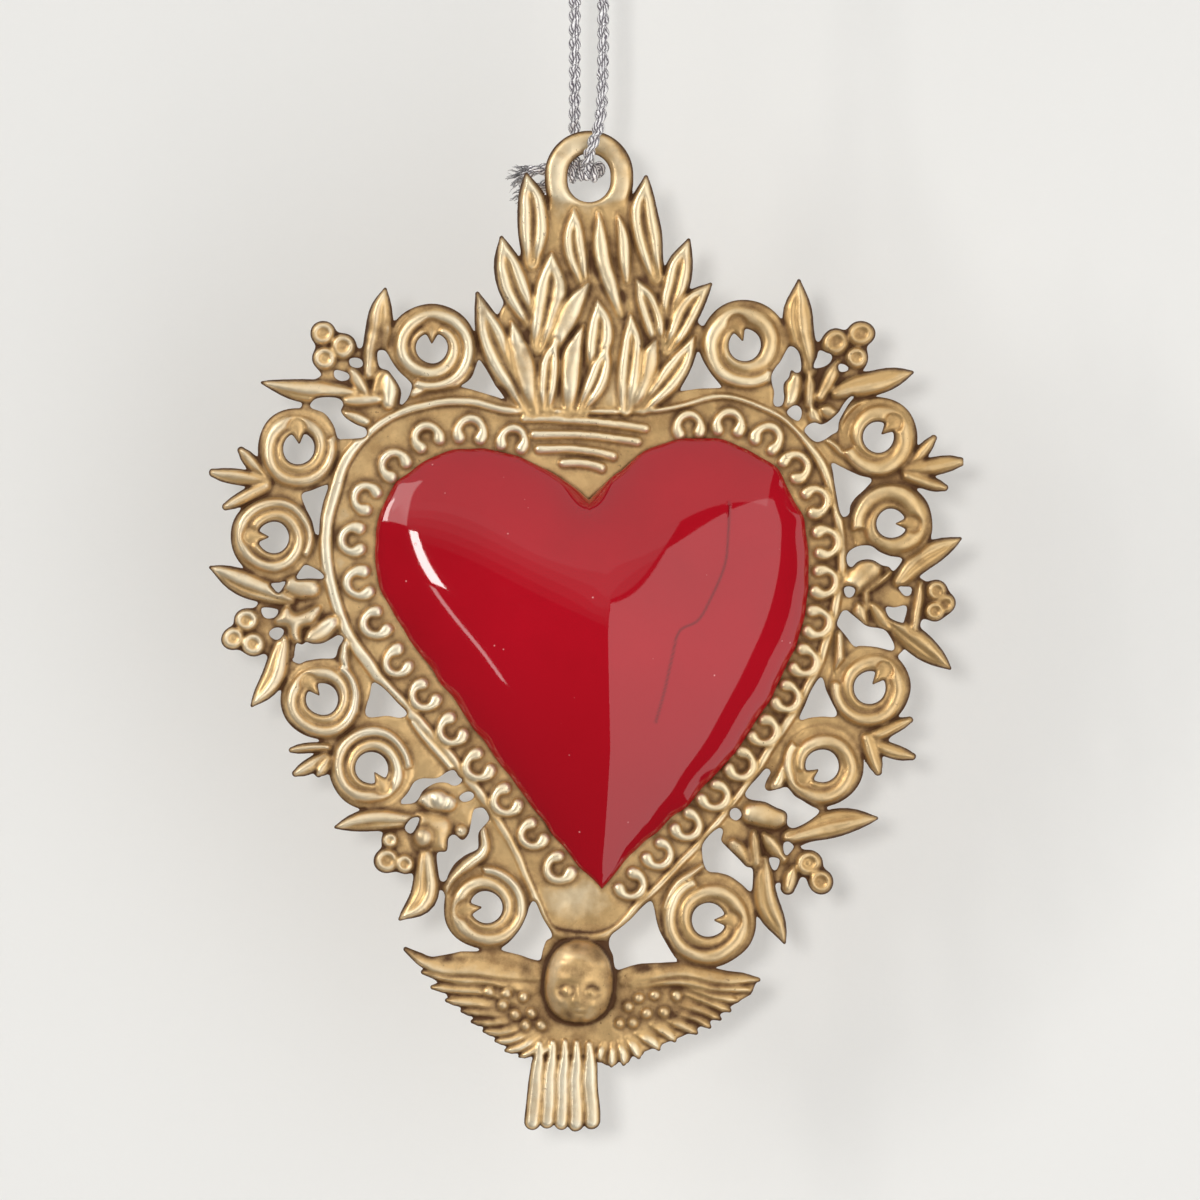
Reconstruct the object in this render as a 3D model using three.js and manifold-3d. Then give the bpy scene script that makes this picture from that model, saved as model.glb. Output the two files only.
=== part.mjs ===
// Sacred heart christmas ornament: an embossed sheet-brass plate with a red
// enamelled heart, hung by its eye from a loop of twisted metallic cord.
// Millimetres, Z up, the front faces -Y. All places are measured from the
// centre of the eye, and the finished group is lowered so that the origin lies
// where the loop rests on its hook.
import * as THREE from 'three';
import { mergeVertices } from 'three/addons/utils/BufferGeometryUtils.js';
import Module from 'manifold-3d';

const wasm = await Module();
wasm.setup();

// Driving dimensions of the sheet
const sheet = 0.45;
const breakThrough = 0.4;
const clearance = 0.3;

// The plate's width, and its drop from the eye's centre to the tail's foot.
// The pattern is drawn at the second pair of sizes and stretched to the first.
const plateWidth = 104.9;
const plateDrop = 133.1;
const drawnWidth = 104.9;
const drawnDrop = 133.1;

// Cord and loop
const cordDiameter = 1.6;
const cordSides = 8;
const loopTop = 81;
const cordSplit = 52;
const loopSteps = 18;
const leftSteps = 14;
const rightSteps = 18;

// Heart dome and its enamel coat
const domeDepth = 9;
const domeFullness = 2.6;
const domeSteps = 36;
const domeRings = [1, 0.92, 0.78, 0.58, 0.3];
const domeCentre = [0.6, -61];
const enamelCoat = 0.5;

// Reliefs above the front of the sheet
const scrollRise = 1.5;
const petalRise = 1.6;
const leafRise = 1.3;
const palmetteRise = 0.9;
const bandLineRise = 0.7;
const curlRise = 0.8;
const barRise = 0.8;
const berryRise = 1.2;
const berryDimple = 0.6;
const featherRise = 0.7;
const beadRise = 0.7;
const fluteRise = 1;
const headRise = 4.2;

// Widths of the pressed details
const lineWidth = 1.5;
const curlWidth = 1.3;
const barWidth = 1.2;
const featherRootWidth = 1.8;
const featherTipWidth = 1.1;
const fluteWidth = 2.1;
const beadRadius = 0.8;

// Stations along the leaves, the flame's tongues and the buds
const leafSteps = 3;
const tongueSteps = 4;
const shortSteps = 2;
const berrySides = 6;

// Share of the dome's outline that the hollow behind it takes, and how far,
// in mm, a join's edge may move when flat faces are merged
const hollowShare = 0.985;
const mergeReach = 0.052;

// Eye at the top
const eyeHoleRadius = 3;
const eyeHoleStretch = 0.4;
const eyeWidth = 3.2;
const eyeRise = 0.9;

const front = -sheet;

// A closed body from rings of points: sides between rings, and then either a
// fan on each end or, for a hoop, the last ring joined to the first
function loft(rings, hoop = false) {
  const count = rings[0].length;
  const positions = rings.flat().flatMap((point) => [point.x, point.y, point.z]);
  const faces = [];
  const bands = hoop ? rings.length : rings.length - 1;
  for (let band = 0; band < bands; band += 1) {
    const near = band * count;
    const far = ((band + 1) % rings.length) * count;
    for (let side = 0; side < count; side += 1) {
      const next = (side + 1) % count;
      faces.push(near + side, near + next, far + next);
      faces.push(near + side, far + next, far + side);
    }
  }
  const last = (rings.length - 1) * count;
  for (let side = 1; side < count - 1 && !hoop; side += 1) {
    faces.push(0, side + 1, side);
    faces.push(last, last + side, last + side + 1);
  }
  const geometry = new THREE.BufferGeometry();
  geometry.setAttribute('position', new THREE.Float32BufferAttribute(positions, 3));
  geometry.setIndex(faces);
  return geometry;
}

// A geometry as a solid for joining and cutting, turned the right way out
function solid(geometry) {
  const bare = geometry.clone();
  bare.deleteAttribute('normal');
  bare.deleteAttribute('uv');
  const welded = mergeVertices(bare, 1e-4);
  const vertProperties = new Float32Array(welded.attributes.position.array);
  const triVerts = new Uint32Array(welded.index.array);
  const made = new wasm.Manifold(new wasm.Mesh({ numProp: 3, vertProperties, triVerts }));
  if (made.volume() > 0) {
    return made;
  }
  for (let corner = 0; corner < triVerts.length; corner += 3) {
    [triVerts[corner + 1], triVerts[corner + 2]] = [triVerts[corner + 2], triVerts[corner + 1]];
  }
  return new wasm.Manifold(new wasm.Mesh({ numProp: 3, vertProperties, triVerts }));
}

function join(solids) {
  let row = solids;
  while (row.length > 1) {
    const pairs = [];
    for (let index = 0; index < row.length; index += 2) {
      pairs.push(index + 1 < row.length ? row[index].add(row[index + 1]) : row[index]);
    }
    row = pairs;
  }
  return row[0];
}

function geometryOf(made) {
  const mesh = made.getMesh();
  const positions = [];
  for (let vertex = 0; vertex < mesh.vertProperties.length; vertex += mesh.numProp) {
    positions.push(...mesh.vertProperties.slice(vertex, vertex + 3));
  }
  const geometry = new THREE.BufferGeometry();
  geometry.setAttribute('position', new THREE.Float32BufferAttribute(positions, 3));
  geometry.setIndex([...mesh.triVerts]);
  geometry.computeVertexNormals();
  return geometry;
}

// The two lists that the plate is made of: what is pressed forward, and the
// hollow that pressing leaves behind it
const pressed = [];
const hollows = [];

// A flat piece of the sheet from a shape drawn in X and Z
function sheetOf(shape, margin = 0) {
  const geometry = new THREE.ExtrudeGeometry(shape, {
    depth: sheet + 2 * margin,
    bevelEnabled: false,
    curveSegments: 12,
  });
  geometry.rotateX(Math.PI / 2);
  geometry.translate(0, margin, 0);
  return solid(geometry);
}

function flat(shape) {
  pressed.push(sheetOf(shape));
}

function shapeOf(points) {
  return new THREE.Shape(points.map(([x, z]) => new THREE.Vector2(x, z)));
}

// A ridge pressed along a path. Its section is a hump whose half width and
// rise follow the path; crown lists the hump's points from side to side.
const roofCrown = [[0, 1]];
const roundCrown = [[-0.55, 0.84], [0, 1], [0.55, 0.84]];

const buried = 0.2;

// Through the sheet to its back, or sitting in the thickness of a field
function ridge(path, halfWidth, rise, { crown = roofCrown, hollow = false, field = false } = {}) {
  const outer = [];
  const inner = [];
  path.forEach((point, index) => {
    const before = path[Math.max(index - 1, 0)];
    const after = path[Math.min(index + 1, path.length - 1)];
    const along = new THREE.Vector2(after.x - before.x, after.y - before.y).normalize();
    const share = index / (path.length - 1);
    const width = halfWidth(share);
    const height = rise(share);
    const place = (offset, y) => new THREE.Vector3(
      point.x - along.y * offset * width,
      y,
      point.y + along.x * offset * width,
    );
    const top = crown.map(([offset, part]) => place(offset, front - part * height));
    const under = crown.map(([offset, part]) => place(offset, -part * height));
    const left = field ? [place(-1, front + buried)] : [place(-1, 0), place(-1, front)];
    const right = field ? [place(1, front + buried)] : [place(1, front), place(1, 0)];
    outer.push([...left, ...top, ...right]);
    inner.push([place(-1, breakThrough), ...under, place(1, breakThrough)]);
  });
  pressed.push(solid(loft(outer)));
  if (hollow) {
    hollows.push(solid(loft(inner)));
  }
}

// A bowed path from one place to another; bow is the sideways swing
function bowed(from, to, bow, steps) {
  const start = new THREE.Vector2(...from);
  const end = new THREE.Vector2(...to);
  const aside = new THREE.Vector2(start.y - end.y, end.x - start.x).normalize();
  const middle = start.clone().lerp(end, 0.5).addScaledVector(aside, bow * 2);
  return new THREE.QuadraticBezierCurve(start, middle, end).getPoints(steps);
}

// A petal or leaf: a roof-shaped ridge, pointed at its tip, fuller low down
function petal(tip, base, width, bow, rise, steps) {
  const swell = (share) => Math.max(Math.sin(Math.PI * (0.04 + 0.9 * share ** 0.85)), 0.1);
  ridge(
    bowed(tip, base, bow, steps),
    (share) => width / 2 * swell(share),
    (share) => rise * swell(share),
  );
}

// A round stud, plain or with a dimple in its top
function stud(centre, radius, rise, dimple, sides) {
  const levels = [[1, 0], [1, front], [0.62, front - rise]];
  if (dimple > 0) {
    levels.push([0.3, front - rise + dimple]);
  }
  pressed.push(solid(loft(levels.map(([share, y]) => Array.from({ length: sides }, (_, step) => {
    const angle = 2 * Math.PI * step / sides;
    return new THREE.Vector3(
      centre[0] + radius * share * Math.cos(angle),
      y,
      centre[1] + radius * share * Math.sin(angle),
    );
  })))));
}

// Heart band: the flat field that carries the heart and its curls
const bandOutline = [
  [8.5, -31.4], [-10, -31.2], [-16.7, -30.1], [-22.3, -30.4], [-28.6, -32.5], [-34.2, -37.8],
  [-37.2, -45.8], [-37.8, -52.1], [-35.4, -62.6], [-30, -70.7], [-22.3, -79.4], [-13.6, -89.9],
  [-8, -101.1], [-5, -106.4], [3, -106.4], [8.5, -101.2], [15.5, -94.1], [24.2, -82.9],
  [32.1, -70], [35.6, -58.4], [36.1, -51.4], [34.9, -43.7], [31.6, -36.7], [26.5, -32.1],
  [18.6, -29.5],
];
const bandSteps = 56;
const bandCurve = new THREE.CatmullRomCurve3(
  bandOutline.map(([x, z]) => new THREE.Vector3(x, 0, z)),
  true,
  'centripetal',
);
flat(shapeOf(bandCurve.getPoints(bandSteps).map((point) => [point.x, point.z])));

// Raised line inside the band's edge, one run on each side
const lineRuns = [
  [[-11, -32.6], [-22.3, -31.6], [-31, -35.6], [-35.6, -43], [-37, -51], [-33.2, -64.8],
    [-23.7, -77], [-12.7, -90.2], [-6.5, -100]],
  [[8.6, -32.2], [20, -30.4], [27, -33.2], [33.2, -40], [35.4, -50], [34, -61],
    [26, -79.4], [15.1, -93.6], [3.2, -105.2]],
];
for (const run of lineRuns) {
  const curve = new THREE.SplineCurve(run.map(([x, z]) => new THREE.Vector2(x, z)));
  ridge(curve.getSpacedPoints(15), () => lineWidth / 2, () => bandLineRise, { field: true });
}

// Heart dome: the outline shrunk toward its centre, ring above ring
const heartLeft = [
  [0, -44.9], [-2.9, -42.7], [-8.3, -39.6], [-15.4, -37.8], [-22.3, -39.2], [-28.1, -44.4],
  [-30, -51.8], [-28, -60], [-17.2, -75.5], [-4.1, -93.1], [1.8, -99.5],
];
const heartRight = [
  [1.8, -99.5], [7.1, -93.6], [15.1, -86.4], [22.9, -77], [29.3, -64.5], [30.8, -54.9],
  [29.5, -46.5], [24.6, -39.3], [15.8, -36.3], [8.5, -37.9], [2.9, -42.2], [0, -44.9],
];
function lobe(points) {
  return new THREE.SplineCurve(points.map(([x, z]) => new THREE.Vector2(x, z)))
    .getSpacedPoints(domeSteps / 2)
    .slice(0, -1);
}
const heartPoints = [...lobe(heartLeft), ...lobe(heartRight)];
function domeHeight(share) {
  return domeDepth * (1 - share ** domeFullness);
}
function domeRing(share, y) {
  return heartPoints.map((point) => new THREE.Vector3(
    domeCentre[0] + (point.x - domeCentre[0]) * share,
    y,
    domeCentre[1] + (point.y - domeCentre[1]) * share,
  ));
}
pressed.push(solid(loft([
  domeRing(1, 0),
  ...domeRings.map((share) => domeRing(share, front - domeHeight(share))),
])));
hollows.push(solid(loft([
  domeRing(hollowShare, breakThrough),
  ...domeRings.map((share) => domeRing(share * hollowShare, -domeHeight(share))),
])));

// Enamel: a coat of even depth over the dome, a hair clear of the metal
const coatUnder = front - clearance;
const coatOver = coatUnder - enamelCoat;
const enamelShares = [...domeRings].reverse();
const enamel = solid(loft([
  ...enamelShares.map((share) => domeRing(share, coatUnder - domeHeight(share))),
  ...domeRings.map((share) => domeRing(share, coatOver - domeHeight(share))),
]));

// Curls along the band: hooks of half-round bead that open toward the heart
const curlRadius = 2;
const curlOpening = 1.25;
function curl(centre, facing) {
  const path = [];
  const steps = 5;
  for (let step = 0; step <= steps; step += 1) {
    const angle = facing + curlOpening + (2 * Math.PI - 2 * curlOpening) * step / steps;
    path.push(new THREE.Vector2(
      centre.x + curlRadius * Math.cos(angle),
      centre.y + curlRadius * Math.sin(angle),
    ));
  }
  ridge(path, () => curlWidth / 2, () => curlRise, { field: true });
}
const curlRuns = [
  { count: 15, inward: 1, path: [[-10.6, -36.6], [-16.7, -35.4], [-22.5, -36.2], [-27.4, -40.3],
    [-31.5, -45.4], [-32.9, -51.7], [-29.5, -63.3], [-18.5, -78.3], [-4.1, -96.6]] },
  { count: 16, inward: -1, path: [[14, -34.8], [20.2, -34.6], [26, -37.2], [29.7, -41.4],
    [32, -46.2], [33, -54.6], [30, -67.8], [21, -82.2], [5.9, -99]] },
];
for (const run of curlRuns) {
  const curve = new THREE.SplineCurve(run.path.map(([x, z]) => new THREE.Vector2(x, z)));
  for (let copy = 0; copy < run.count; copy += 1) {
    const share = copy / (run.count - 1);
    const along = curve.getTangentAt(share);
    const facing = Math.atan2(along.x * run.inward, -along.y * run.inward);
    curl(curve.getPointAt(share), facing);
  }
}

// Bars over the notch of the heart
const bars = [
  [[-8.3, -33.4], [7.8, -34.6]],
  [[-6.9, -36.6], [6.6, -37.7]],
  [[-6.4, -38.9], [3.4, -39.8]],
];
for (const [from, to] of bars) {
  ridge(bowed(from, to, 0.3, 3), () => barWidth / 2, () => barRise, { field: true });
}

// Scrolls: a disc with a curl-tipped hole and a bead wound over it
const scrolls = [
  { centre: [-22, -23.8], radius: 6.3, hole: 2.2, tip: 90, start: 245, sense: 1 },
  { centre: [-40.7, -37.9], radius: 5.7, hole: 2.25, tip: 105, start: 20, sense: -1 },
  { centre: [-44.2, -50.3], radius: 5.9, hole: 2.15, tip: 170, start: -30, sense: 1 },
  { centre: [-37.4, -72.9], radius: 5.8, hole: 2.25, tip: 160, start: 60, sense: -1 },
  { centre: [-30.4, -82.5], radius: 6, hole: 2.3, tip: 300, start: 0, sense: 1 },
  { centre: [-14.4, -102.1], radius: 6, hole: 2.3, tip: 185, start: 95, sense: -1 },
  { centre: [21.8, -23.4], radius: 6.3, hole: 2.25, tip: 110, start: -45, sense: -1 },
  { centre: [40.5, -36.3], radius: 5.6, hole: 2.15, tip: 45, start: 200, sense: 1 },
  { centre: [42.3, -48.3], radius: 5.8, hole: 2.1, tip: 20, start: 150, sense: 1 },
  { centre: [39.3, -71.3], radius: 5.7, hole: 2.25, tip: 50, start: 170, sense: 1 },
  { centre: [32.6, -82.3], radius: 5.7, hole: 2.3, tip: 215, start: 140, sense: 1 },
  { centre: [16.8, -103.9], radius: 6.6, hole: 2.4, tip: -10, start: 110, sense: 1 },
];
const scrollSteps = 14;
const rimToCrest = 1.1;
const crestToValley = 1.2;
const valleyRise = 0.35;
const lipRise = 0.9;
const tipNear = [0.3, 0.55, 1];
const spiralShare = 0.75;

// A scroll is thin sheet all round: each step round it is one loop through its
// front (rim, crest, valley, lip) and back again through the hollow behind.
// Crest and valley draw in as they go round, so the bead winds as a spiral,
// and one or two steps of the lip reach in as the curl's end.
function scroll({ centre, radius, hole, tip, start, sense }) {
  const inward = (radius - hole - rimToCrest - crestToValley) * spiralShare;
  const startAngle = THREE.MathUtils.degToRad(start);
  const tipTurn = sense * (THREE.MathUtils.degToRad(tip) - startAngle) / (2 * Math.PI);
  const tipStep = Math.round((tipTurn - Math.floor(tipTurn)) * scrollSteps) % scrollSteps;
  const loops = [];
  for (let step = 0; step < scrollSteps; step += 1) {
    const share = step / scrollSteps;
    const angle = startAngle + sense * 2 * Math.PI * share;
    const crest = radius - rimToCrest - inward * share;
    const fromTip = Math.min((step - tipStep + scrollSteps) % scrollSteps, tipNear.length - 1);
    const lip = hole * tipNear[fromTip];
    const place = (reach, y) => new THREE.Vector3(
      centre[0] + reach * Math.cos(angle),
      y,
      centre[1] + reach * Math.sin(angle),
    );
    loops.push([
      place(radius, 0),
      place(radius, front),
      place(crest, front - scrollRise),
      place(crest - crestToValley, front - valleyRise),
      place(lip, front - lipRise),
      place(lip, -lipRise),
      place(crest - crestToValley, -valleyRise),
      place(crest, -scrollRise),
    ]);
  }
  pressed.push(solid(loft(loops, true)));
}
scrolls.forEach(scroll);

// Rim: one flat sheet round the band with its openings, left clear under the
// scrolls so that they stay hollow behind
const rimOutline = [
  [-30, -23.4], [-32.6, -24.4], [-36.3, -21.6], [-37.7, -23], [-37.4, -27.7], [-39.8, -29.7],
  [-40.7, -38.1], [-45.8, -40.6], [-47.5, -42.8], [-44.4, -49.3], [-47.2, -55.9], [-45.5, -58],
  [-49.4, -63.8], [-48.9, -65.5], [-45.5, -66.4], [-41.9, -71.7], [-37.4, -73.1], [-37.4, -82.9],
  [-35.4, -82.2], [-30.4, -82.6], [-30.4, -87.1], [-27.2, -91], [-27.6, -93.4], [-26.7, -95.2],
  [-23.9, -95.8], [-22.7, -98], [-19.2, -101.1], [-14.6, -101.8], [-15.3, -108.9], [-0.6, -115.1],
  [15.5, -110.2], [16.8, -104.6], [22.3, -101.8], [24.2, -103.2], [25.1, -99], [30.4, -95.8],
  [29.5, -93.5], [33.7, -90.7], [32.6, -82.2], [40.7, -80.4], [42.1, -77.8], [39.1, -71.7],
  [43.8, -66.1], [45.5, -62.2], [50, -59.4], [44.2, -53.9], [42.1, -47.2], [44.2, -44], [48, -42.6],
  [47.7, -39.8], [40.5, -36.3], [39.1, -31.4], [39.6, -29.4], [37.9, -27.2], [37.9, -22.1],
  [32.6, -23.5], [28.8, -22.7], [27.4, -21.3], [21.8, -23.4], [17.2, -22], [15.1, -20.2],
  [12.7, -21.3], [1.5, -17.1], [-15.5, -23.4], [-22, -23.9], [-28.1, -21.3],
];
const rimOpenings = [
  [[-33.5, -25.5], [-31.8, -25.6], [-31.6, -26.3], [-33.3, -26.3]],
  [[-35.6, -27], [-33.6, -27.4], [-33.6, -28.1], [-34.7, -28.4], [-35.6, -27.9]],
  [[-38.9, -31.4], [-37.9, -30.8], [-34.6, -31.1], [-34.7, -32.6], [-34, -33.6], [-31.2, -35.3],
    [-31.4, -36.4], [-35.1, -36.3], [-37, -32.9], [-38.9, -32.1]],
  [[-29.5, -24.5], [-28.7, -24.1], [-28.1, -24.5], [-24.8, -29.1], [-25.8, -31.5], [-26.5, -31.8],
    [-26.7, -29], [-28.1, -27], [-29.3, -26.5]],
  [[-15.4, -25.5], [-11.8, -31.1], [-18.2, -29.3], [-16.5, -27.9]],
  [[-40.2, -44.4], [-36.5, -43.1], [-37.9, -50]],
  [[-39.6, -54.2], [-37.2, -55.4], [-37.1, -56.1], [-40.7, -56.1], [-40.9, -55.7]],
  [[-44.5, -56.8], [-42.4, -56.4], [-43.3, -58]],
  [[-45.9, -60.2], [-43.7, -60.3], [-43.5, -60.8], [-44.1, -61.5], [-45.5, -61.5]],
  [[-44.2, -63.1], [-42.6, -63.3], [-43.4, -64.7], [-44.7, -63.8]],
  [[-41.4, -67.2], [-40.9, -65.2], [-37.4, -65.1], [-35.1, -64], [-34.3, -64.3], [-35.4, -66.9],
    [-36, -67.2], [-40.7, -68], [-41.7, -67.6]],
  [[-30.2, -70.7], [-28.4, -71.7], [-25.6, -74.9], [-26.5, -75.5], [-30.5, -75.5], [-31.1, -75]],
  [[-19.7, -83.2], [-18.8, -83], [-17.6, -84.3], [-18.1, -85], [-20.9, -84.6], [-23.1, -85.8],
    [-24.4, -87.5], [-26, -87.6], [-26.2, -87.2], [-24.1, -84.3], [-21.1, -84]],
  [[-18.1, -86.8], [-16.7, -86], [-16.1, -86.4], [-16.4, -87.1], [-17.5, -87.4]],
  [[-25.8, -91], [-24.6, -89.6], [-23.7, -89.5], [-24.8, -91.8]],
  [[-16.1, -88.6], [-14.7, -88.2], [-14, -89.2], [-15.4, -91.8], [-15.5, -93.7], [-18.9, -95.9],
    [-20, -98.3], [-20.7, -98.4], [-21.1, -94.4], [-19.9, -94.1], [-19.6, -92.4], [-18.8, -92],
    [-17.8, -92.8], [-16.9, -92]],
  [[-7.7, -101.1], [-5.2, -105.6], [-6.9, -109.6], [-12.2, -107.8], [-9.7, -105]],
  [[15.3, -24.4], [18.6, -29.3], [12.3, -29.8], [14.8, -24.5]],
  [[28.1, -23.7], [29.5, -24.6], [29.7, -27], [28.4, -26.9], [27.3, -28.7], [27, -31.9],
    [26.2, -32.1], [25.5, -27.6]], [[27.7, -32.9], [29.1, -31.8], [29.7, -32.2], [29.3, -33.9]],
  [[30.1, -35.1], [30.7, -34.3], [33.7, -33.9], [36.5, -30.7], [37.1, -30.7], [35.6, -32.8],
    [34.9, -35.3], [31.6, -36.7]], [[32.2, -24.1], [34, -24.9], [33.9, -25.8], [31.6, -26.7]],
  [[35, -26.3], [36.4, -26.7], [35.1, -27.2]],
  [[33.9, -39.8], [39.5, -42.1], [37.2, -44.7], [35.8, -47.5], [35, -46.2]],
  [[36.5, -52.1], [39.1, -51.4], [43.8, -53.5], [42.6, -55.2], [38.6, -53.3], [36.7, -54.3],
    [36, -52.9]], [[35.7, -57.4], [37.2, -57.4], [37.2, -58.1], [36.7, -58.7], [36, -58.5]],
  [[43.3, -57.4], [45.1, -57.4], [44.9, -58.4], [44.1, -58.5]],
  [[41.6, -60.2], [44.2, -59.9], [44, -62.3], [41.9, -61.3]],
  [[35.3, -60.8], [36, -60.6], [38.8, -62.9], [41.4, -63.3], [42.6, -65.4], [42.3, -66.1],
    [37, -65.5], [34.6, -62.3]],
  [[32.3, -69.9], [34.7, -74.8], [34.4, -75.5], [29.7, -75.9], [29.4, -75.5]],
  [[24.6, -82.7], [25.3, -83.2], [24.6, -85.4], [25.2, -86], [27.7, -85.5], [28.8, -86.7],
    [32.2, -88.6], [28.4, -90.9], [27.7, -90.4], [27.7, -88.9], [22, -86.7], [21.8, -86.1],
    [22.5, -85]], [[20.4, -88.2], [21.3, -89.3], [20.7, -89.9], [19.6, -89.2]],
  [[18.2, -90.9], [18.8, -91.3], [18.6, -92.7], [19.2, -93.5], [22, -96.5], [22.8, -96.7],
    [22.4, -99.8], [19.7, -97.7], [16.7, -97], [16.1, -96], [16, -93.1]],
  [[27.2, -93], [27.9, -92.8], [28.6, -93.5], [27.6, -94.8]],
  [[25.2, -95.3], [26.5, -95.3], [26.2, -96.9], [25.6, -96.7]],
  [[8.7, -101.2], [9.9, -105.6], [12.6, -109.9], [8.5, -109.9], [3.9, -110.9], [2.9, -107.5],
    [3.1, -106.1]],
];
function scrollDisc({ centre, radius, start }) {
  const reach = radius - rimToCrest / 2;
  const startAngle = THREE.MathUtils.degToRad(start);
  return Array.from({ length: scrollSteps }, (_, step) => {
    const angle = startAngle + 2 * Math.PI * step / scrollSteps;
    return [centre[0] + reach * Math.cos(angle), centre[1] + reach * Math.sin(angle)];
  });
}
const rimCuts = [...rimOpenings, ...scrolls.map(scrollDisc)]
  .map((points) => sheetOf(shapeOf(points), breakThrough));
pressed.push(sheetOf(shapeOf(rimOutline)).subtract(join(rimCuts)));

// Long leaves that stand out of the rim: tip, base, width, bow
const leaves = [
  [[-28.6, -15.7], [-30.5, -27.4], 3.5, 0.1], [[-45.6, -28.7], [-32.6, -30.1], 2.9, -0.5],
  [[-52.8, -54.3], [-41.9, -58.9], 3.2, -0.5], [[-47.2, -73.9], [-42.7, -64.7], 2.9, -0.9],
  [[-35.6, -90.9], [-24.8, -89.9], 2.9, 0.5], [[-26.2, -103.9], [-22.7, -94.4], 3.4, -1.7],
  [[29.5, -14.4], [30.9, -26.9], 3.6, -0.9], [[45.1, -27.3], [34.6, -30], 3.2, 0],
  [[51.8, -50.4], [43.4, -56.7], 3.1, -0.9], [[50.3, -68.7], [41.6, -61.6], 3.2, 0],
  [[40.2, -89.5], [27.9, -92.1], 3.4, -0.5], [[27.2, -106.8], [24.4, -95.8], 3.2, 0.9],
];
for (const [tip, base, width, bow] of leaves) {
  petal(tip, base, width, bow, leafRise, leafSteps);
}

// Berries in threes, each with a dimple: place and radius
const berries = [
  [-37.2, -21.8, 1.68], [-34.4, -23.7, 1.75], [-37, -25.3, 1.68], [-48, -61.9, 1.68],
  [-49.8, -64.5, 1.61], [-47, -65.4, 1.68], [-28, -92.7, 1.12], [-28.3, -95.5, 1.68],
  [-25.8, -95.9, 1.4], [34.4, -23, 1.96], [37.9, -21.8, 1.82], [37.5, -25.2, 1.54],
  [48.6, -57.7, 1.47], [49.8, -59.6, 1.4], [48.3, -60.6, 1.47], [30.8, -96, 1.82],
  [32.5, -98.6, 1.68],
];
for (const [x, z, radius] of berries) {
  stud([x, z], radius, berryRise, berryDimple, berrySides);
}

// Buds, the short round leaves between: tip, root, width, rise
const buds = [
  [[-33.2, -26.9], [-31.2, -30.2], 2.1, 1.3], [[-28.4, -26.7], [-29.8, -30.1], 2, 1.1],
  [[-27.9, -27.7], [-28.1, -31.5], 2.7, 1.5], [[-34.4, -31.2], [-29.5, -31.1], 1.8, 1.2],
  [[-42.6, -56.8], [-38.8, -57.5], 3.1, 1.5], [[-40.5, -59.1], [-43.3, -62], 2.4, 1.4],
  [[-39.3, -64.7], [-36.1, -62.4], 2.8, 1.5], [[-23.1, -87.1], [-19.7, -87.5], 3.1, 1.6],
  [[-23.1, -89.2], [-23.8, -93.5], 2.9, 1.5], [[-18.3, -90.7], [-17.5, -92.4], 2.4, 1.3],
  [[29.1, -27.4], [28, -31.4], 2.7, 1.3], [[30.8, -27.6], [30.9, -31.6], 1.8, 1.4],
  [[34.9, -26], [32.3, -30.5], 2.1, 1.3], [[31.2, -32.2], [31.9, -33.9], 2.1, 1.2],
  [[40.2, -53.5], [37.2, -56.6], 4.2, 1.6], [[37.7, -59.9], [38.1, -62.4], 2.1, 1.3],
  [[39.6, -59.9], [41.6, -62.7], 2, 1], [[46.3, -56.7], [45.5, -63.1], 1.5, 1.3],
  [[27.7, -89.5], [22.8, -89], 3.6, 1.5], [[20.2, -93], [22.5, -96.7], 2.7, 1.2],
  [[23, -91.6], [23.4, -96], 1.8, 1.4], [[24.4, -92], [27, -95.2], 2.2, 1],
  [[28.7, -96.6], [27.9, -99.4], 2.1, 1.4],
];
for (const [tip, root, width, rise] of buds) {
  petal(tip, root, width, 0, rise, shortSteps);
}

// Palmettes on the rim, three short tips to a root: tip, root, width
const palmettes = [
  [[-48.6, -38.2], [-45.2, -42.3], 2.1], [[-52.5, -41.4], [-45.2, -42.6], 2.4],
  [[-50.8, -46.1], [-45.2, -43.1], 2.1], [[-41.6, -80.1], [-36.5, -79.8], 1.5],
  [[-41, -83.3], [-36.8, -81.2], 2.1], [[-37.9, -83.3], [-36.3, -81.5], 2],
  [[48.3, -36.4], [44.7, -40.6], 2], [[51.9, -39.8], [44.7, -40.9], 2.7],
  [[49.7, -43.5], [44.7, -41.7], 2.1], [[44.8, -75.9], [39.1, -78.4], 2],
  [[45.2, -81.1], [39.1, -79], 2.1], [[40.3, -83], [38.8, -78.4], 2.4],
];
for (const [tip, root, width] of palmettes) {
  petal(tip, root, width, 0, palmetteRise, shortSteps);
}

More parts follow.
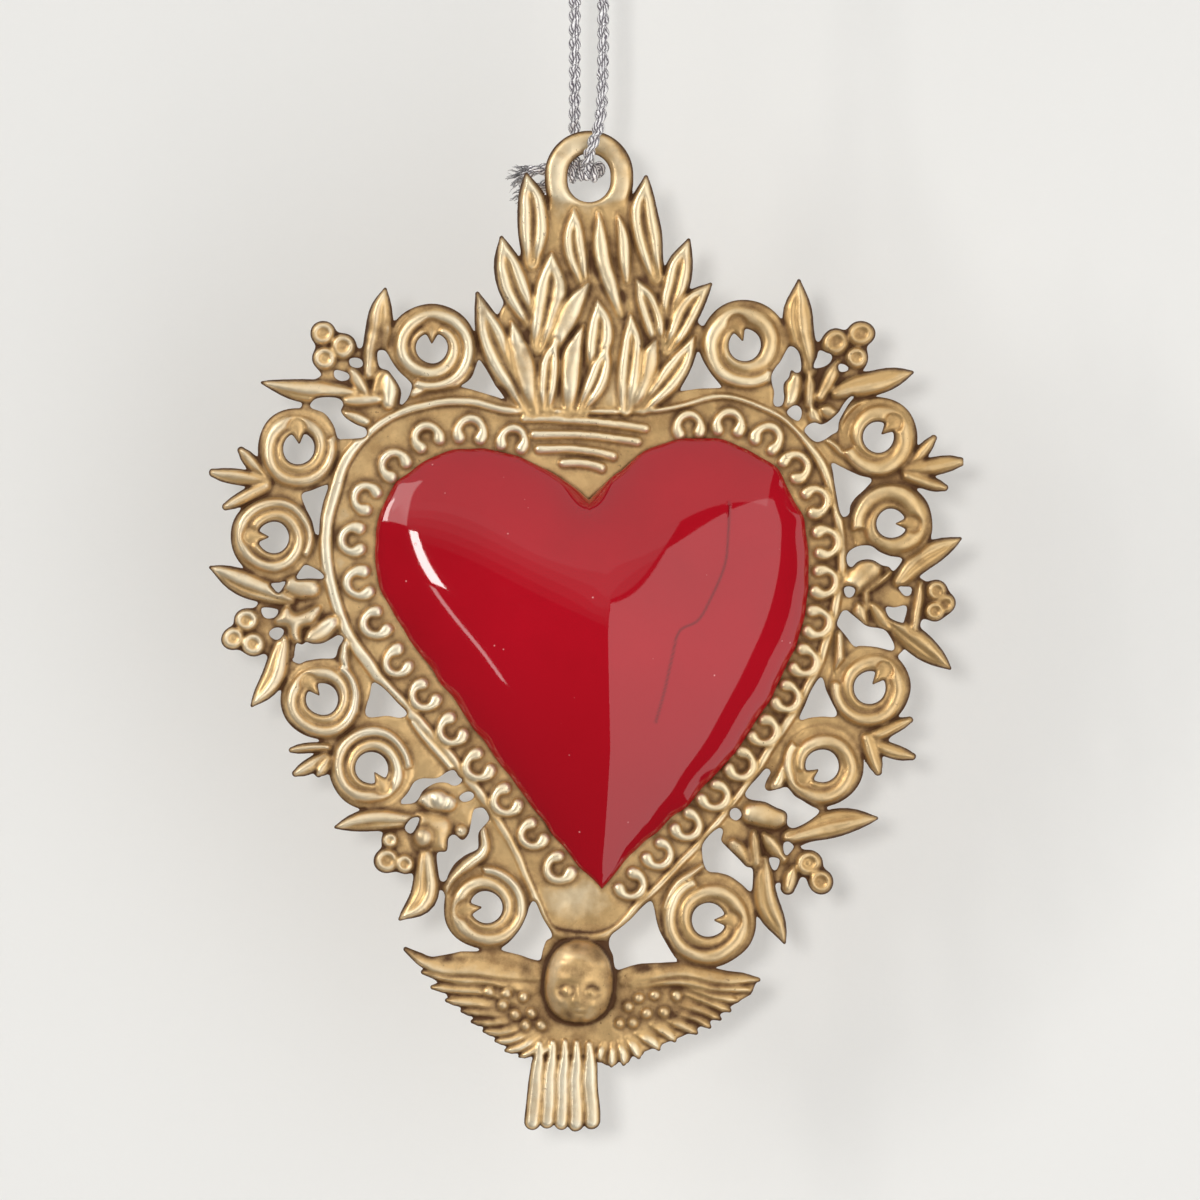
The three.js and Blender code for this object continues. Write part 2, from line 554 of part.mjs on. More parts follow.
// Flame over the heart: a trunk with rows of petals. Tip, base, width, bow.
flat(shapeOf([
  [-5.4, -1.4], [5.4, -1.4], [9.6, -11.5], [12.6, -16.6], [15.2, -23.6], [12.2, -30], [8.8, -32.6],
  [-10.4, -32.6], [-13.2, -29], [-15, -23], [-11.6, -17], [-9.6, -11], [-5.6, -4.4],
]));
const flamePetals = [
  [[-8.8, 0.6], [-8, -12.4], 4.4, 0.8], [[8, 0], [8.4, -12.2], 4.2, 0.8],
  [[-2.6, -4.6], [-1.4, -13.8], 3.8, -0.2], [[1.2, -4.2], [4.4, -19.2], 2.8, -0.5],
  [[3.6, -5], [4.8, -13.4], 2.4, 0.4], [[-12.3, -8.2], [-7.4, -20], 4.8, -0.9],
  [[-5.3, -9.4], [-7.4, -22.8], 4.8, 0.5], [[13.7, -8.8], [10.4, -20.4], 4, -0.5],
  [[6.6, -14], [9.2, -22.6], 3.2, 0.7], [[17.1, -15], [10.4, -24], 4, -0.3],
  [[-15.4, -16.4], [-8.8, -31], 4.8, -1.2], [[-11.4, -19], [-7.6, -31.6], 3.2, 0.6],
  [[0.2, -13.8], [-6.6, -24], 3.6, 0.6], [[-4.6, -22.4], [-6.8, -31.4], 3.6, -0.4],
  [[-1, -17.2], [-4, -31.4], 3.2, 0.6], [[1.1, -16.8], [0.6, -26.4], 2.6, 0],
  [[5.4, -18.6], [4.2, -31.4], 5.2, 0.4], [[2.6, -24.4], [-0.6, -31.8], 3.2, 0.3],
  [[9.6, -22.8], [6.8, -31.6], 3.4, 0.4], [[14.8, -21.4], [8.6, -30.8], 3.8, 0.4],
];
for (const [tip, base, width, bow] of flamePetals) {
  petal(tip, base, width, bow, petalRise, tongueSteps);
}

// Winged figure at the foot: wings of long feathers, beads, tail and head
const figure = [-1.4, -112.4];
const leftWing = {
  plate: [[-2, -109], [-12, -107.6], [-18, -108.2], [-25.8, -107.8], [-23.4, -110.4], [-21, -112.8],
    [-19, -115.4], [-16.6, -117.2], [-14.4, -119.2], [-12.4, -120.8], [-10.4, -122.2],
    [-7.6, -122.9], [-4, -121]],
  feathers: [
    [[-25.6, -107.9], [-6, -109.6], -0.8], [[-23.2, -110.6], [-7, -111.6], -0.6],
    [[-21.8, -112.8], [-14.6, -113.6], -0.2], [[-19.7, -115.4], [-14.2, -115.6], -0.2],
    [[-17, -117.4], [-13, -117.4], -0.2], [[-14.8, -119.4], [-11.4, -119], -0.2],
    [[-12.6, -121], [-9.4, -120.2], -0.2], [[-10.2, -122.4], [-7, -121.6], -0.2],
  ],
  beads: [[-13.9, -113.8], [-11.5, -114.1], [-9.1, -114.7], [-12, -115.8], [-10.4, -117.2],
    [-8, -117], [-9, -118.7], [-6.7, -118.7]],
};
const rightWing = {
  plate: [[-2, -109], [4, -110.9], [9, -110.2], [14, -110.4], [23.8, -112.3], [22.6, -114.4],
    [20, -115.8], [17.2, -117.8], [14, -119.6], [11.2, -120.8], [8.2, -122.1], [4.6, -123.6],
    [2.6, -124.4], [1, -123.4], [-2, -120]],
  feathers: [
    [[23.6, -112.4], [4.4, -111.8], 0.8], [[22.6, -114.2], [5.6, -113.6], 0.6],
    [[20.2, -115.6], [13.4, -114.4], 0.2], [[17.2, -117.6], [12.6, -116.4], 0.2],
    [[14.2, -119.4], [11, -118.4], 0.2], [[11.2, -120.8], [8, -119.6], 0.2],
    [[8.4, -122], [5.6, -120.4], 0.2], [[5.2, -123.4], [3, -121], 0.2],
    [[2.7, -124.3], [0.8, -121.6], 0.2],
  ],
  beads: [[7.1, -114.7], [9.2, -114.4], [12.2, -114.5], [5.6, -115.9], [8.1, -117], [10.4, -116.8],
    [4.3, -118.3], [6.2, -118.2]],
};
flat(shapeOf([[-6.4, -116], [3.6, -116], [2, -123], [-7.4, -123]]));
for (const wing of [leftWing, rightWing]) {
  flat(shapeOf(wing.plate));
  for (const [tip, root, bow] of wing.feathers) {
    const halfWidth = (share) => THREE.MathUtils.lerp(featherTipWidth, featherRootWidth, share) / 2;
    ridge(bowed(tip, root, bow, 2), halfWidth, () => featherRise, { field: true });
  }
  for (const bead of wing.beads) {
    stud(bead, beadRadius, beadRise, 0, 5);
  }
}
const flutes = [
  [[-7.1, -122], [-8.3, -132.4]], [[-5.2, -121.4], [-6.4, -132.9]], [[-3.5, -121], [-4, -133]],
  [[-1.7, -121], [-1.8, -133.1]], [[0.1, -121.8], [0.4, -132.6]],
];
for (const [top, foot] of flutes) {
  ridge(bowed(top, foot, 0.1, 3), () => fluteWidth / 2, () => fluteRise);
}

// Head: a smooth egg with brow, eyes, nose and cheeks of a doll-like face
const headHalf = [4.9, 6];
const headTilt = THREE.MathUtils.degToRad(-4);
function headPoint(across, up, y) {
  return new THREE.Vector3(
    figure[0] + across * Math.cos(headTilt) - up * Math.sin(headTilt),
    y,
    figure[1] + across * Math.sin(headTilt) + up * Math.cos(headTilt),
  );
}
function egg(middle, half, rise, levels, sides) {
  return solid(loft(levels.map(([share, lift]) => Array.from({ length: sides }, (_, step) => {
    const angle = 2 * Math.PI * step / sides;
    return headPoint(
      middle[0] + half[0] * share * Math.cos(angle),
      middle[1] + half[1] * share * Math.sin(angle),
      lift < 0 ? 0 : front - rise * lift,
    );
  }))));
}
const eggLevels = [[1, -1], [1, 0], [0.95, 0.36], [0.8, 0.66], [0.55, 0.88], [0.22, 0.99]];
pressed.push(egg([0, 0], headHalf, headRise, eggLevels, 16));
hollows.push(solid(loft([[0.94, 0.1], [0.88, -0.3], [0.72, -0.62], [0.45, -0.86]].map(
  ([share, lift]) => Array.from({ length: 12 }, (_, step) => {
    const angle = 2 * Math.PI * step / 12;
    return headPoint(
      headHalf[0] * share * Math.cos(angle),
      headHalf[1] * share * Math.sin(angle),
      headRise * lift,
    );
  }),
))));
const faceParts = [
  { middle: [-1.6, -1.2], half: [0.9, 0.7], rise: 4.15 },
  { middle: [1.7, -1.2], half: [0.9, 0.7], rise: 4.15 },
  { middle: [0, -2.2], half: [0.55, 1], rise: 4.4 },
  { middle: [-2, -2.9], half: [1.2, 1], rise: 3.7 },
  { middle: [2, -2.9], half: [1.2, 1], rise: 3.7 },
];
for (const { middle, half, rise } of faceParts) {
  pressed.push(egg(middle, half, rise, [[1, 0.6], [0.9, 0.9], [0.4, 1]], 8));
}

// The pattern so far is stretched to the plate's size. The eye that follows
// keeps its own size, because the cord goes through it.
const stretch = [plateWidth / drawnWidth, 1, plateDrop / drawnDrop];
const pattern = join(pressed.splice(0)).subtract(join(hollows.splice(0))).scale(stretch);

// Eye: a half-round ring round the hole that the cord passes through
const eyePath = [];
const eyeSteps = 12;
for (let step = 0; step <= eyeSteps; step += 1) {
  const angle = -0.45 + (Math.PI + 0.9) * step / eyeSteps;
  const reach = eyeHoleRadius + eyeWidth / 2;
  const lift = Math.sin(angle) > 0 ? eyeHoleStretch : -eyeHoleStretch;
  eyePath.push(new THREE.Vector2(reach * Math.cos(angle), lift + reach * Math.sin(angle)));
}
ridge(eyePath, () => eyeWidth / 2, () => eyeRise, { crown: roundCrown, hollow: true });
const eyeHole = new THREE.Shape();
eyeHole.absarc(0, eyeHoleStretch, eyeHoleRadius, 0, Math.PI, false);
eyeHole.absarc(0, -eyeHoleStretch, eyeHoleRadius, Math.PI, 2 * Math.PI, false);
const eyeCut = new THREE.ExtrudeGeometry(eyeHole, { depth: 8, bevelEnabled: false, curveSegments: 8 });
eyeCut.rotateX(Math.PI / 2);
eyeCut.translate(0, 4, 0);
hollows.push(solid(eyeCut));

// The joins split flat faces, which simplify merges again
const plate = pattern.add(join(pressed)).subtract(join(hollows)).asOriginal().simplify(mergeReach);

// Cord route, from the knot up the left strand, over the hook and down the
// right strand, which crosses the front of the eye and goes in through it
const cordRoute = [
  [-2, 2.3, 3.3], [-2.05, 1.9, 5], [-2.05, 1.5, 8], [-2, 1.1, 13], [-2, 0.5, 19], [-2, 0, 25],
  [-2.1, 0, 33], [-2.4, 0, 43], [-2.8, 0, 53], [-3.1, 0, 63], [-3.25, 0, 72], [-3.2, 0, 77.8],
  [-2.27, 0, 80.07], [0, 0, 81], [2.27, 0, 80.07], [3.2, 0, 77.8],
  [3.25, 0, 72], [3.1, 0, 63], [2.8, 0, 53], [2.4, 0, 43], [2.1, 0, 33], [2, -0.2, 25],
  [2, -0.9, 19], [1.9, -1.8, 13], [1.7, -2.6, 9], [1.1, -2.8, 6.2], [0.3, -2.6, 4.2],
  [-0.2, -1.6, 2.6], [-0.4, -0.4, 1.9], [-0.5, 0.4, 1.7],
];
const cordCurve = new THREE.CatmullRomCurve3(
  cordRoute.map(([x, y, z]) => new THREE.Vector3(x, y, z)),
  false,
  'centripetal',
);

function octagon(radius) {
  const points = [];
  for (let side = 0; side < cordSides; side += 1) {
    const angle = 2 * Math.PI * (side + 0.5) / cordSides;
    points.push(new THREE.Vector2(radius * Math.cos(angle), radius * Math.sin(angle)));
  }
  return new THREE.Shape(points);
}

// A plain tube along part of the cord, between two shares of its length
function cordTube(fromShare, toShare, steps) {
  const points = [];
  for (let step = 0; step <= steps; step += 1) {
    points.push(cordCurve.getPointAt(fromShare + (toShare - fromShare) * step / steps));
  }
  return new THREE.ExtrudeGeometry(octagon(cordDiameter / 2), {
    steps,
    extrudePath: new THREE.CatmullRomCurve3(points),
    bevelEnabled: false,
  });
}

// Length shares where the cord crosses the split height, left and right
function shareAtHeight(height, fromEnd) {
  const samples = 2000;
  for (let sample = 0; sample <= samples; sample += 1) {
    const share = fromEnd ? 1 - sample / samples : sample / samples;
    if (cordCurve.getPointAt(share).z >= height) {
      return share;
    }
  }
  return 0.5;
}
const halfGap = clearance / 2;
const upperLoop = cordTube(
  shareAtHeight(cordSplit + halfGap, false),
  shareAtHeight(cordSplit + halfGap, true),
  loopSteps,
);
const leftStrand = cordTube(0, shareAtHeight(cordSplit - halfGap, false), leftSteps);
const rightStrand = cordTube(shareAtHeight(cordSplit - halfGap, true), 1, rightSteps);

// Knot behind the eye: an oval core with three turns of cord wound over it
const knotCentre = new THREE.Vector3(-1.2, 2.5, 0.9);
const knotHalf = new THREE.Vector3(3.4, 1.2, 1.6);
const knotTurns = [[-1.9, 0.25, 0.86], [0, 0.35, 1], [1.9, 0.15, 0.84]];
const knotParts = [new THREE.SphereGeometry(1, 10, 6).scale(knotHalf.x, knotHalf.y, knotHalf.z)];
for (const [along, lean, size] of knotTurns) {
  const turn = new THREE.TorusGeometry(1, 0.5, 5, 10);
  turn.rotateY(Math.PI / 2);
  turn.scale(1.3, knotHalf.y * size * 0.92, knotHalf.z * size * 0.92);
  turn.rotateY(lean);
  turn.translate(along, 0, 0);
  knotParts.push(turn);
}
const knot = join(knotParts.map(solid)).translate(knotCentre.toArray());

// The two ends of the cord leave the knot to the left; each is a limp length
// that loosens into a tuft of three pointed wisps
const tuftSpread = 0.34;
function frayedEnd(points, wisps) {
  const curve = new THREE.CatmullRomCurve3(points.map((point) => new THREE.Vector3(...point)));
  const stem = new THREE.ExtrudeGeometry(octagon(cordDiameter / 2), {
    steps: 4,
    extrudePath: curve,
    bevelEnabled: false,
  });
  const along = curve.getTangentAt(1);
  const parts = [solid(stem)];
  for (const [turn, reach] of wisps) {
    const wisp = new THREE.ConeGeometry(cordDiameter * 0.36, reach, 6);
    wisp.translate(0, reach / 2 - 0.3, 0);
    wisp.rotateX(tuftSpread);
    wisp.rotateY(turn);
    wisp.applyQuaternion(
      new THREE.Quaternion().setFromUnitVectors(new THREE.Vector3(0, 1, 0), along),
    );
    parts.push(solid(wisp.translate(...points[points.length - 1])));
  }
  return join(parts);
}
const upperEnd = frayedEnd(
  [[-5.2, 2.7, 1.5], [-8, 2.6, 1.1], [-10.4, 2.4, -0.2]],
  [[0.4, 2.6], [2.5, 2.2], [4.6, 2.4]],
);
const lowerEnd = frayedEnd(
  [[-5, 2.8, -0.6], [-7.8, 2.9, -1.4], [-9.6, 2.6, -3]],
  [[0.2, 2.2], [2.2, 2.5], [4.3, 2]],
);

const colours = { brass: 0xb9a06a, enamel: 0xb01222, cord: 0xb4b6ba };
const model = new THREE.Group();
function place(name, geometry, colour, roughness, metalness) {
  const mesh = new THREE.Mesh(
    geometry,
    new THREE.MeshStandardMaterial({ color: colour, roughness, metalness }),
  );
  mesh.name = name;
  mesh.position.z = -(loopTop - cordDiameter / 2);
  model.add(mesh);
}
place('stamped_plate', geometryOf(plate), colours.brass, 0.38, 0.9);
place('heart_enamel', geometryOf(enamel.scale(stretch)), colours.enamel, 0.12, 0);
place('cord_loop', upperLoop, colours.cord, 0.45, 0.6);
place('cord_strand_left', leftStrand, colours.cord, 0.45, 0.6);
place('cord_strand_right', rightStrand, colours.cord, 0.45, 0.6);
place('cord_knot', geometryOf(knot), colours.cord, 0.45, 0.6);
place('frayed_end_upper', geometryOf(upperEnd), colours.cord, 0.5, 0.5);
place('frayed_end_lower', geometryOf(lowerEnd), colours.cord, 0.5, 0.5);

export default model;
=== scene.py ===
# Sacred heart christmas ornament: a stamped brass plate with a red enamelled
# heart, hung by its eye from a loop of twisted metallic cord.
# Shapes are worked out in millimetres from the centre of the eye, and become
# metres from the hook when they are made into meshes.
import bpy
import numpy as np
from mathutils import Euler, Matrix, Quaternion


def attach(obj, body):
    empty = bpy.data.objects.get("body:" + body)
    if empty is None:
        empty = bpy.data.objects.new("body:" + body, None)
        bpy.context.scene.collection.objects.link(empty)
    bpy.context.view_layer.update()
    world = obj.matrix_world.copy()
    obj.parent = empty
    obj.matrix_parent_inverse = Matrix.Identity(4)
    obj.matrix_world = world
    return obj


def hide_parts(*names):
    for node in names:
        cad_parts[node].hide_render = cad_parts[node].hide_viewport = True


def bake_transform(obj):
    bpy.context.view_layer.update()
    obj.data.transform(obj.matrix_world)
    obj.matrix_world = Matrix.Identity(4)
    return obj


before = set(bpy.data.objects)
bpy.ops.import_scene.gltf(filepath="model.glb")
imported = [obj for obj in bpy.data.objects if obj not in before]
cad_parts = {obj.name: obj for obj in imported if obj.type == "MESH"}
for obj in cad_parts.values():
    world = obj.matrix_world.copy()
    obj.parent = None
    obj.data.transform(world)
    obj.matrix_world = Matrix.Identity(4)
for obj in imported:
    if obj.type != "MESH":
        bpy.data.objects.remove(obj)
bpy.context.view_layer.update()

eyeDrop = 80.2



# small helpers

def toRow(points):
    # millimetres from the eye -> metres from the hook
    moved = np.array(points, dtype=float).reshape(-1, 3)
    moved[:, 2] -= eyeDrop
    return moved / 1000


def pairs(numbers):
    # x, z, x, z ... -> one row for each place
    return np.array(numbers, dtype=float).reshape(-1, 2)


def smoothStep(low, high, value):
    # 0 below low, 1 above high, 3t^2 - 2t^3 between
    share = np.clip((value - low) / (high - low), 0, 1)
    return share * share * (3 - 2 * share)


def hill(value, width):
    # gaussian: 1 at 0, exp(-1) at width
    return np.exp(-(value / width) ** 2)


def roundOver(u, power):
    # 1 in the middle, 0 at u = 1 and -1; a half circle at power 2, flatter above it
    return np.sqrt(np.maximum(1 - np.abs(u) ** power, 0))


def smoothPath(points, count, closed=False):
    # Catmull-Rom through the points, count places spaced evenly by length
    points = np.array(points, dtype=float)
    if closed:
        ring = np.vstack([points[-1:], points, points[:2]])
    else:
        ring = np.vstack([2 * points[:1] - points[1:2], points, 2 * points[-1:] - points[-2:-1]])
    share = np.linspace(0, 1, 24, endpoint=False)[:, None, None]
    p0, p1, p2, p3 = ring[:-3], ring[1:-2], ring[2:-1], ring[3:]
    curve = 0.5 * (2 * p1 + (p2 - p0) * share + (2 * p0 - 5 * p1 + 4 * p2 - p3) * share ** 2
                   + (3 * p1 - p0 - 3 * p2 + p3) * share ** 3)
    curve = curve.transpose(1, 0, 2).reshape(-1, points.shape[1])
    curve = np.vstack([curve, points[:1] if closed else points[-1:]])
    lengths = np.concatenate([[0], np.cumsum(np.linalg.norm(np.diff(curve, axis=0), axis=1))])
    wanted = np.linspace(0, lengths[-1], count, endpoint=not closed)
    return np.stack([np.interp(wanted, lengths, part) for part in curve.T], axis=1)


def bowedPath(tip, base, bow, count=14):
    # quadratic from tip to base, its middle swung aside by bow
    tip, base = np.array(tip, float), np.array(base, float)
    aside = np.array([tip[1] - base[1], base[0] - tip[0]])
    aside = aside / np.linalg.norm(aside)
    middle = (tip + base) / 2 + aside * bow * 2
    share = np.linspace(0, 1, count)[:, None]
    return (1 - share) ** 2 * tip + 2 * share * (1 - share) * middle + share ** 2 * base


def gridFaces(rows, columns, wrapColumns=False):
    # quads of a rows x columns grid of points, counted row by row
    index = np.arange(rows * columns).reshape(rows, columns)
    if wrapColumns:
        index = np.hstack([index, index[:, :1]])
    return np.stack([index[:-1, :-1], index[:-1, 1:], index[1:, 1:], index[1:, :-1]], axis=-1).reshape(-1, 4)


def capFaces(rows, count):
    # triangles that close a stack of rings: the two middle points come after
    # all the rings, first the one for ring 0
    ring = np.arange(count)
    after = (ring + 1) % count
    tail = (rows - 1) * count
    return np.vstack([np.stack([np.full(count, rows * count), after, ring], axis=1),
                      np.stack([np.full(count, rows * count + 1), tail + ring, tail + after], axis=1)])


def makePiece(name, points, faceGroups, material, attributes=None, loopNormals=None, uv=None):
    # a mesh object from points in mm and groups of faces with equal corner counts
    mesh = bpy.data.meshes.new(name)
    rows = toRow(points)
    mesh.vertices.add(len(rows))
    mesh.vertices.foreach_set("co", rows.ravel())
    corners = np.concatenate([group.ravel() for group in faceGroups]).astype(np.int32)
    counts = np.concatenate([np.full(len(group), group.shape[1]) for group in faceGroups])
    starts = np.concatenate([[0], np.cumsum(counts)[:-1]]).astype(np.int32)
    mesh.loops.add(len(corners))
    mesh.loops.foreach_set("vertex_index", corners)
    mesh.polygons.add(len(counts))
    mesh.polygons.foreach_set("loop_start", starts)
    mesh.polygons.foreach_set("use_smooth", np.ones(len(counts), dtype=bool))
    mesh.update(calc_edges=True)
    for label, values in (attributes or {}).items():
        layer = mesh.attributes.new(label, "FLOAT", "POINT")
        layer.data.foreach_set("value", np.asarray(values, dtype=np.float32))
    if uv is not None:
        layer = mesh.uv_layers.new(name="along")
        layer.data.foreach_set("uv", np.asarray(uv, dtype=np.float32)[corners].ravel())
    if loopNormals is not None:
        mesh.normals_split_custom_set(loopNormals)
    mesh.validate()
    piece = bpy.data.objects.new(name, mesh)
    bpy.context.scene.collection.objects.link(piece)
    mesh.materials.append(material)
    return piece


# shader maths

class Signal:
    # a socket that can take part in Python sums; each sum adds a Math node
    def __init__(self, graph, socket):
        self.graph = graph
        self.socket = socket

    def __add__(self, other):
        return self.graph.maths("ADD", self, other)

    def __sub__(self, other):
        return self.graph.maths("SUBTRACT", self, other)

    def __rsub__(self, other):
        return self.graph.maths("SUBTRACT", other, self)

    def __mul__(self, other):
        return self.graph.maths("MULTIPLY", self, other)

    __radd__ = __add__
    __rmul__ = __mul__


class Graph:
    # one material's nodes
    def __init__(self, name):
        self.material = bpy.data.materials.new(name)
        self.material.use_nodes = True
        self.tree = self.material.node_tree
        self.shader = self.tree.nodes["Principled BSDF"]

    def node(self, kind, settings=None, output=0, **inputs):
        made = self.tree.nodes.new(kind)
        for key, value in (settings or {}).items():
            if key == "stops":
                ramp = made.color_ramp
                while len(ramp.elements) < len(value):
                    ramp.elements.new(0.5)
                for element, (place, colour) in zip(ramp.elements, value):
                    element.position = place
                    element.color = (*colour, 1)
            else:
                setattr(made, key, value)
        for key, value in inputs.items():
            self.feed(made.inputs[int(key[1:])] if key[1:].isdigit() else made.inputs[key], value)
        return Signal(self, made.outputs[output])

    def feed(self, socket, value):
        if isinstance(value, Signal):
            self.tree.links.new(value.socket, socket)
        else:
            socket.default_value = value

    def maths(self, operation, first, second=0.0):
        return self.node("ShaderNodeMath", {"operation": operation}, i0=first, i1=second)

    def clamp(self, value):
        return self.node("ShaderNodeMath", {"operation": "ADD", "use_clamp": True}, i0=value, i1=0.0)

    def ramp(self, value, stops):
        return self.node("ShaderNodeValToRGB", {"stops": stops}, Fac=value)

    def place(self):
        return self.node("ShaderNodeTexCoord", output="Object")

    def split(self, vector, axis):
        return self.node("ShaderNodeSeparateXYZ", output=axis, Vector=vector)

    def bump(self, height, strength, distance):
        return self.node("ShaderNodeBump", None, Strength=strength, Distance=distance, Height=height)

    def noise(self, spot, scale, detail=4.0, rough=0.55):
        return self.node("ShaderNodeTexNoise", None, Vector=spot, Scale=scale, Detail=detail, Roughness=rough)

    def mix(self, share, first, second):
        # a plain colour is three numbers
        first, second = (part if isinstance(part, Signal) else (*part, 1) for part in (first, second))
        return self.node("ShaderNodeMix", {"data_type": "RGBA"}, output=2, i0=share, i6=first, i7=second)

    def attribute(self, label):
        return self.node("ShaderNodeAttribute", {"attribute_name": label}, output=2)

    def finish(self, **sockets):
        for key, value in sockets.items():
            self.feed(self.shader.inputs[key.replace("_", " ")], value)
        return self.material


# field and the cool pale are the colours of the lit left; the warm field and warm pale are painted-shade copies
# for the right half
brassLook = {
    "patina": (0.085, 0.034, 0.009),
    "shade": (0.36, 0.205, 0.078),
    "field": (0.72, 0.485, 0.225),
    "shadedField": (0.57, 0.365, 0.15),
    "shadedPale": (0.88, 0.68, 0.385),
    "litPale": (0.87, 0.78, 0.59),
    "roughness": 0.40,
}


def brassMaterial():
    # tan field in clouds of brown; pale crests, as rubbed wear and as painted highlight;
    # painted light from the left, paler and cooler on the left and on the tail,
    # warmer and darker on the right; dark lacquer in the hollows, with painted shade
    # in the grooves and along the edges; and dark specks that gather in patches
    graph = Graph("antiqued brass")
    spot = graph.place()
    cavity = graph.attribute("cavity")
    crest = graph.attribute("crest")
    across, height = graph.split(spot, 0), graph.split(spot, 2)
    broad = graph.noise(spot, 60.0, 3.0)
    cloud = graph.noise(spot, 300.0, 6.0, 0.68)
    fine = graph.noise(spot, 900.0, 6.0, 0.7)
    # side is 0 on the left and on the tail and 1 on the right: painted light from the left, so the right half
    # gets a warmer, darker field, more tarnish and fewer, warmer pale crests
    side = graph.clamp(across * 10.0 + 0.42 + (broad - 0.5) * 0.8)
    side = side * graph.clamp((height + 0.205) * 300.0 + 0.1)
    pale = graph.mix(side, brassLook["litPale"], brassLook["shadedPale"])
    # tarnish clouds, with painted shade from the hollows' mask and on the right half
    tarnishAndShade = (cloud - 0.48) * 2.6 + (broad - 0.5) * 1.4 + cavity * 0.5 - crest * 0.9 + side * 0.16
    tarnishAndShade = graph.clamp(tarnishAndShade)
    field = graph.mix(side, brassLook["field"], brassLook["shadedField"])
    metal = graph.mix(tarnishAndShade * 0.95, field, brassLook["shade"])
    # pale crests: rubbed wear and painted highlight, fewer on the right
    wearAndHighlight = graph.clamp(crest * 1.3 + (broad - 0.5) * 0.9 + (fine - 0.5) * 0.7 - cavity * 0.9 - side * 0.28)
    metal = graph.mix(wearAndHighlight, metal, pale)
    # dark patina in the hollows, with the painted shade that the hollows' mask carries
    patinaAndShade = graph.clamp((cavity + (fine - 0.5) * 0.5 + (cloud - 0.5) * 0.7 - 0.16) * 1.3)
    colour = graph.mix(patinaAndShade, metal, brassLook["patina"])
    specks = graph.ramp(graph.noise(spot, 1500.0, 2.0), [(0.66, (0, 0, 0)), (0.72, (1, 1, 1))])
    patch = graph.ramp(graph.noise(spot, 110.0, 2.0), [(0.48, (0, 0, 0)), (0.62, (1, 1, 1))])
    colour = graph.mix(specks * patch * 0.6, colour, brassLook["patina"])
    rough = graph.clamp(brassLook["roughness"] + patinaAndShade * 0.3 + tarnishAndShade * 0.12 + (fine - 0.5) * 0.3)
    grain = fine * 0.6 + graph.noise(spot, 260.0, 5.0, 0.65) * 1.3
    return graph.finish(Base_Color=colour, Metallic=graph.clamp(0.74 - patinaAndShade * 0.5), Roughness=rough,
                        Normal=graph.bump(grain, 0.3, 0.0001))


enamelLook = {"red": (0.355, 0.0013, 0.008), "bright": (0.47, 0.0021, 0.013), "deep": (0.23, 0.001, 0.005),
              "pit": (0.9, 0.42, 0.42), "crack": (0.12, 0.001, 0.003), "roughness": 0.04}


def enamelMaterial():
    # thick red gloss in faint clouds, deeper towards the tip, with tiny pale
    # bubbles in patches and one hairline crack
    graph = Graph("red enamel")
    spot = graph.place()
    cloud = graph.noise(spot, 60.0, 4.0)
    colour = graph.mix(graph.clamp(cloud * 1.4 - 0.25), enamelLook["red"], enamelLook["bright"])
    deep = graph.clamp((-0.150 - graph.split(spot, 2)) * 24.0 + (cloud - 0.5) * 0.8)
    colour = graph.mix(deep * 0.75, colour, enamelLook["deep"])
    bubbles = graph.node("ShaderNodeTexVoronoi", {"feature": "F1"}, Vector=spot, Scale=420.0)
    pits = graph.ramp(bubbles, [(0.02, (1, 1, 1)), (0.07, (0, 0, 0))])
    dots = graph.ramp(graph.noise(spot, 170.0, 1.0), [(0.54, (0, 0, 0)), (0.62, (1, 1, 1))])
    colour = graph.mix(pits * dots * 0.8, colour, enamelLook["pit"])
    crack = graph.attribute("crack")
    colour = graph.mix(graph.clamp(crack * 0.8), colour, enamelLook["crack"])
    waves = graph.noise(spot, 38.0, 2.0) * 1.2 - pits * dots * 0.25 - crack
    return graph.finish(Base_Color=colour, Roughness=enamelLook["roughness"],
                        Normal=graph.bump(waves, 0.12, 0.0002))


cordLook = {"dark": (0.14, 0.12, 0.145), "pale": (1.0, 0.985, 0.99), "metallic": 0.1}


def cordMaterial():
    # silver yarn: the foil threads are twisted against the plies, so each one
    # keeps u + 2v constant; stripe = sin(10 pi (u + 2v) + noise). The plies
    # meet in two grooves, at u 0.5 and 1.5, where the colour is painted dark as shade
    graph = Graph("silver yarn")
    along = graph.node("ShaderNodeTexCoord", output="UV")
    around, length = graph.split(along, 0), graph.split(along, 1)
    spot = graph.place()
    ragged = graph.noise(spot, 700.0, 3.0, 0.6)
    sparkle = graph.noise(spot, 2600.0, 2.0, 0.6)
    threads = graph.maths("SINE", (around + length * 2.0) * (10 * np.pi) + (ragged - 0.5) * 14.0)
    # painted shade: the colour darkens in the two grooves where the plies meet
    groove = graph.maths("ABSOLUTE", graph.maths("COSINE", around * np.pi))
    shade = graph.clamp(threads * 1.3 + (sparkle - 0.5) * 2.0 + 0.85) * graph.clamp(groove * 1.9 + 0.1)
    colour = graph.mix(shade, cordLook["dark"], cordLook["pale"])
    return graph.finish(Base_Color=colour, Metallic=cordLook["metallic"],
                        Roughness=graph.clamp(0.2 + sparkle * 0.25),
                        Normal=graph.bump(threads * 0.5 + sparkle * 0.4, 0.7, 0.0002))


brass = brassMaterial()
enamel = enamelMaterial()
yarn = cordMaterial()
print("materials made")


# camera and stage

cameraSet = {"middle": (1.54, -59.08), "tall": 168.0, "away": 1400.0}


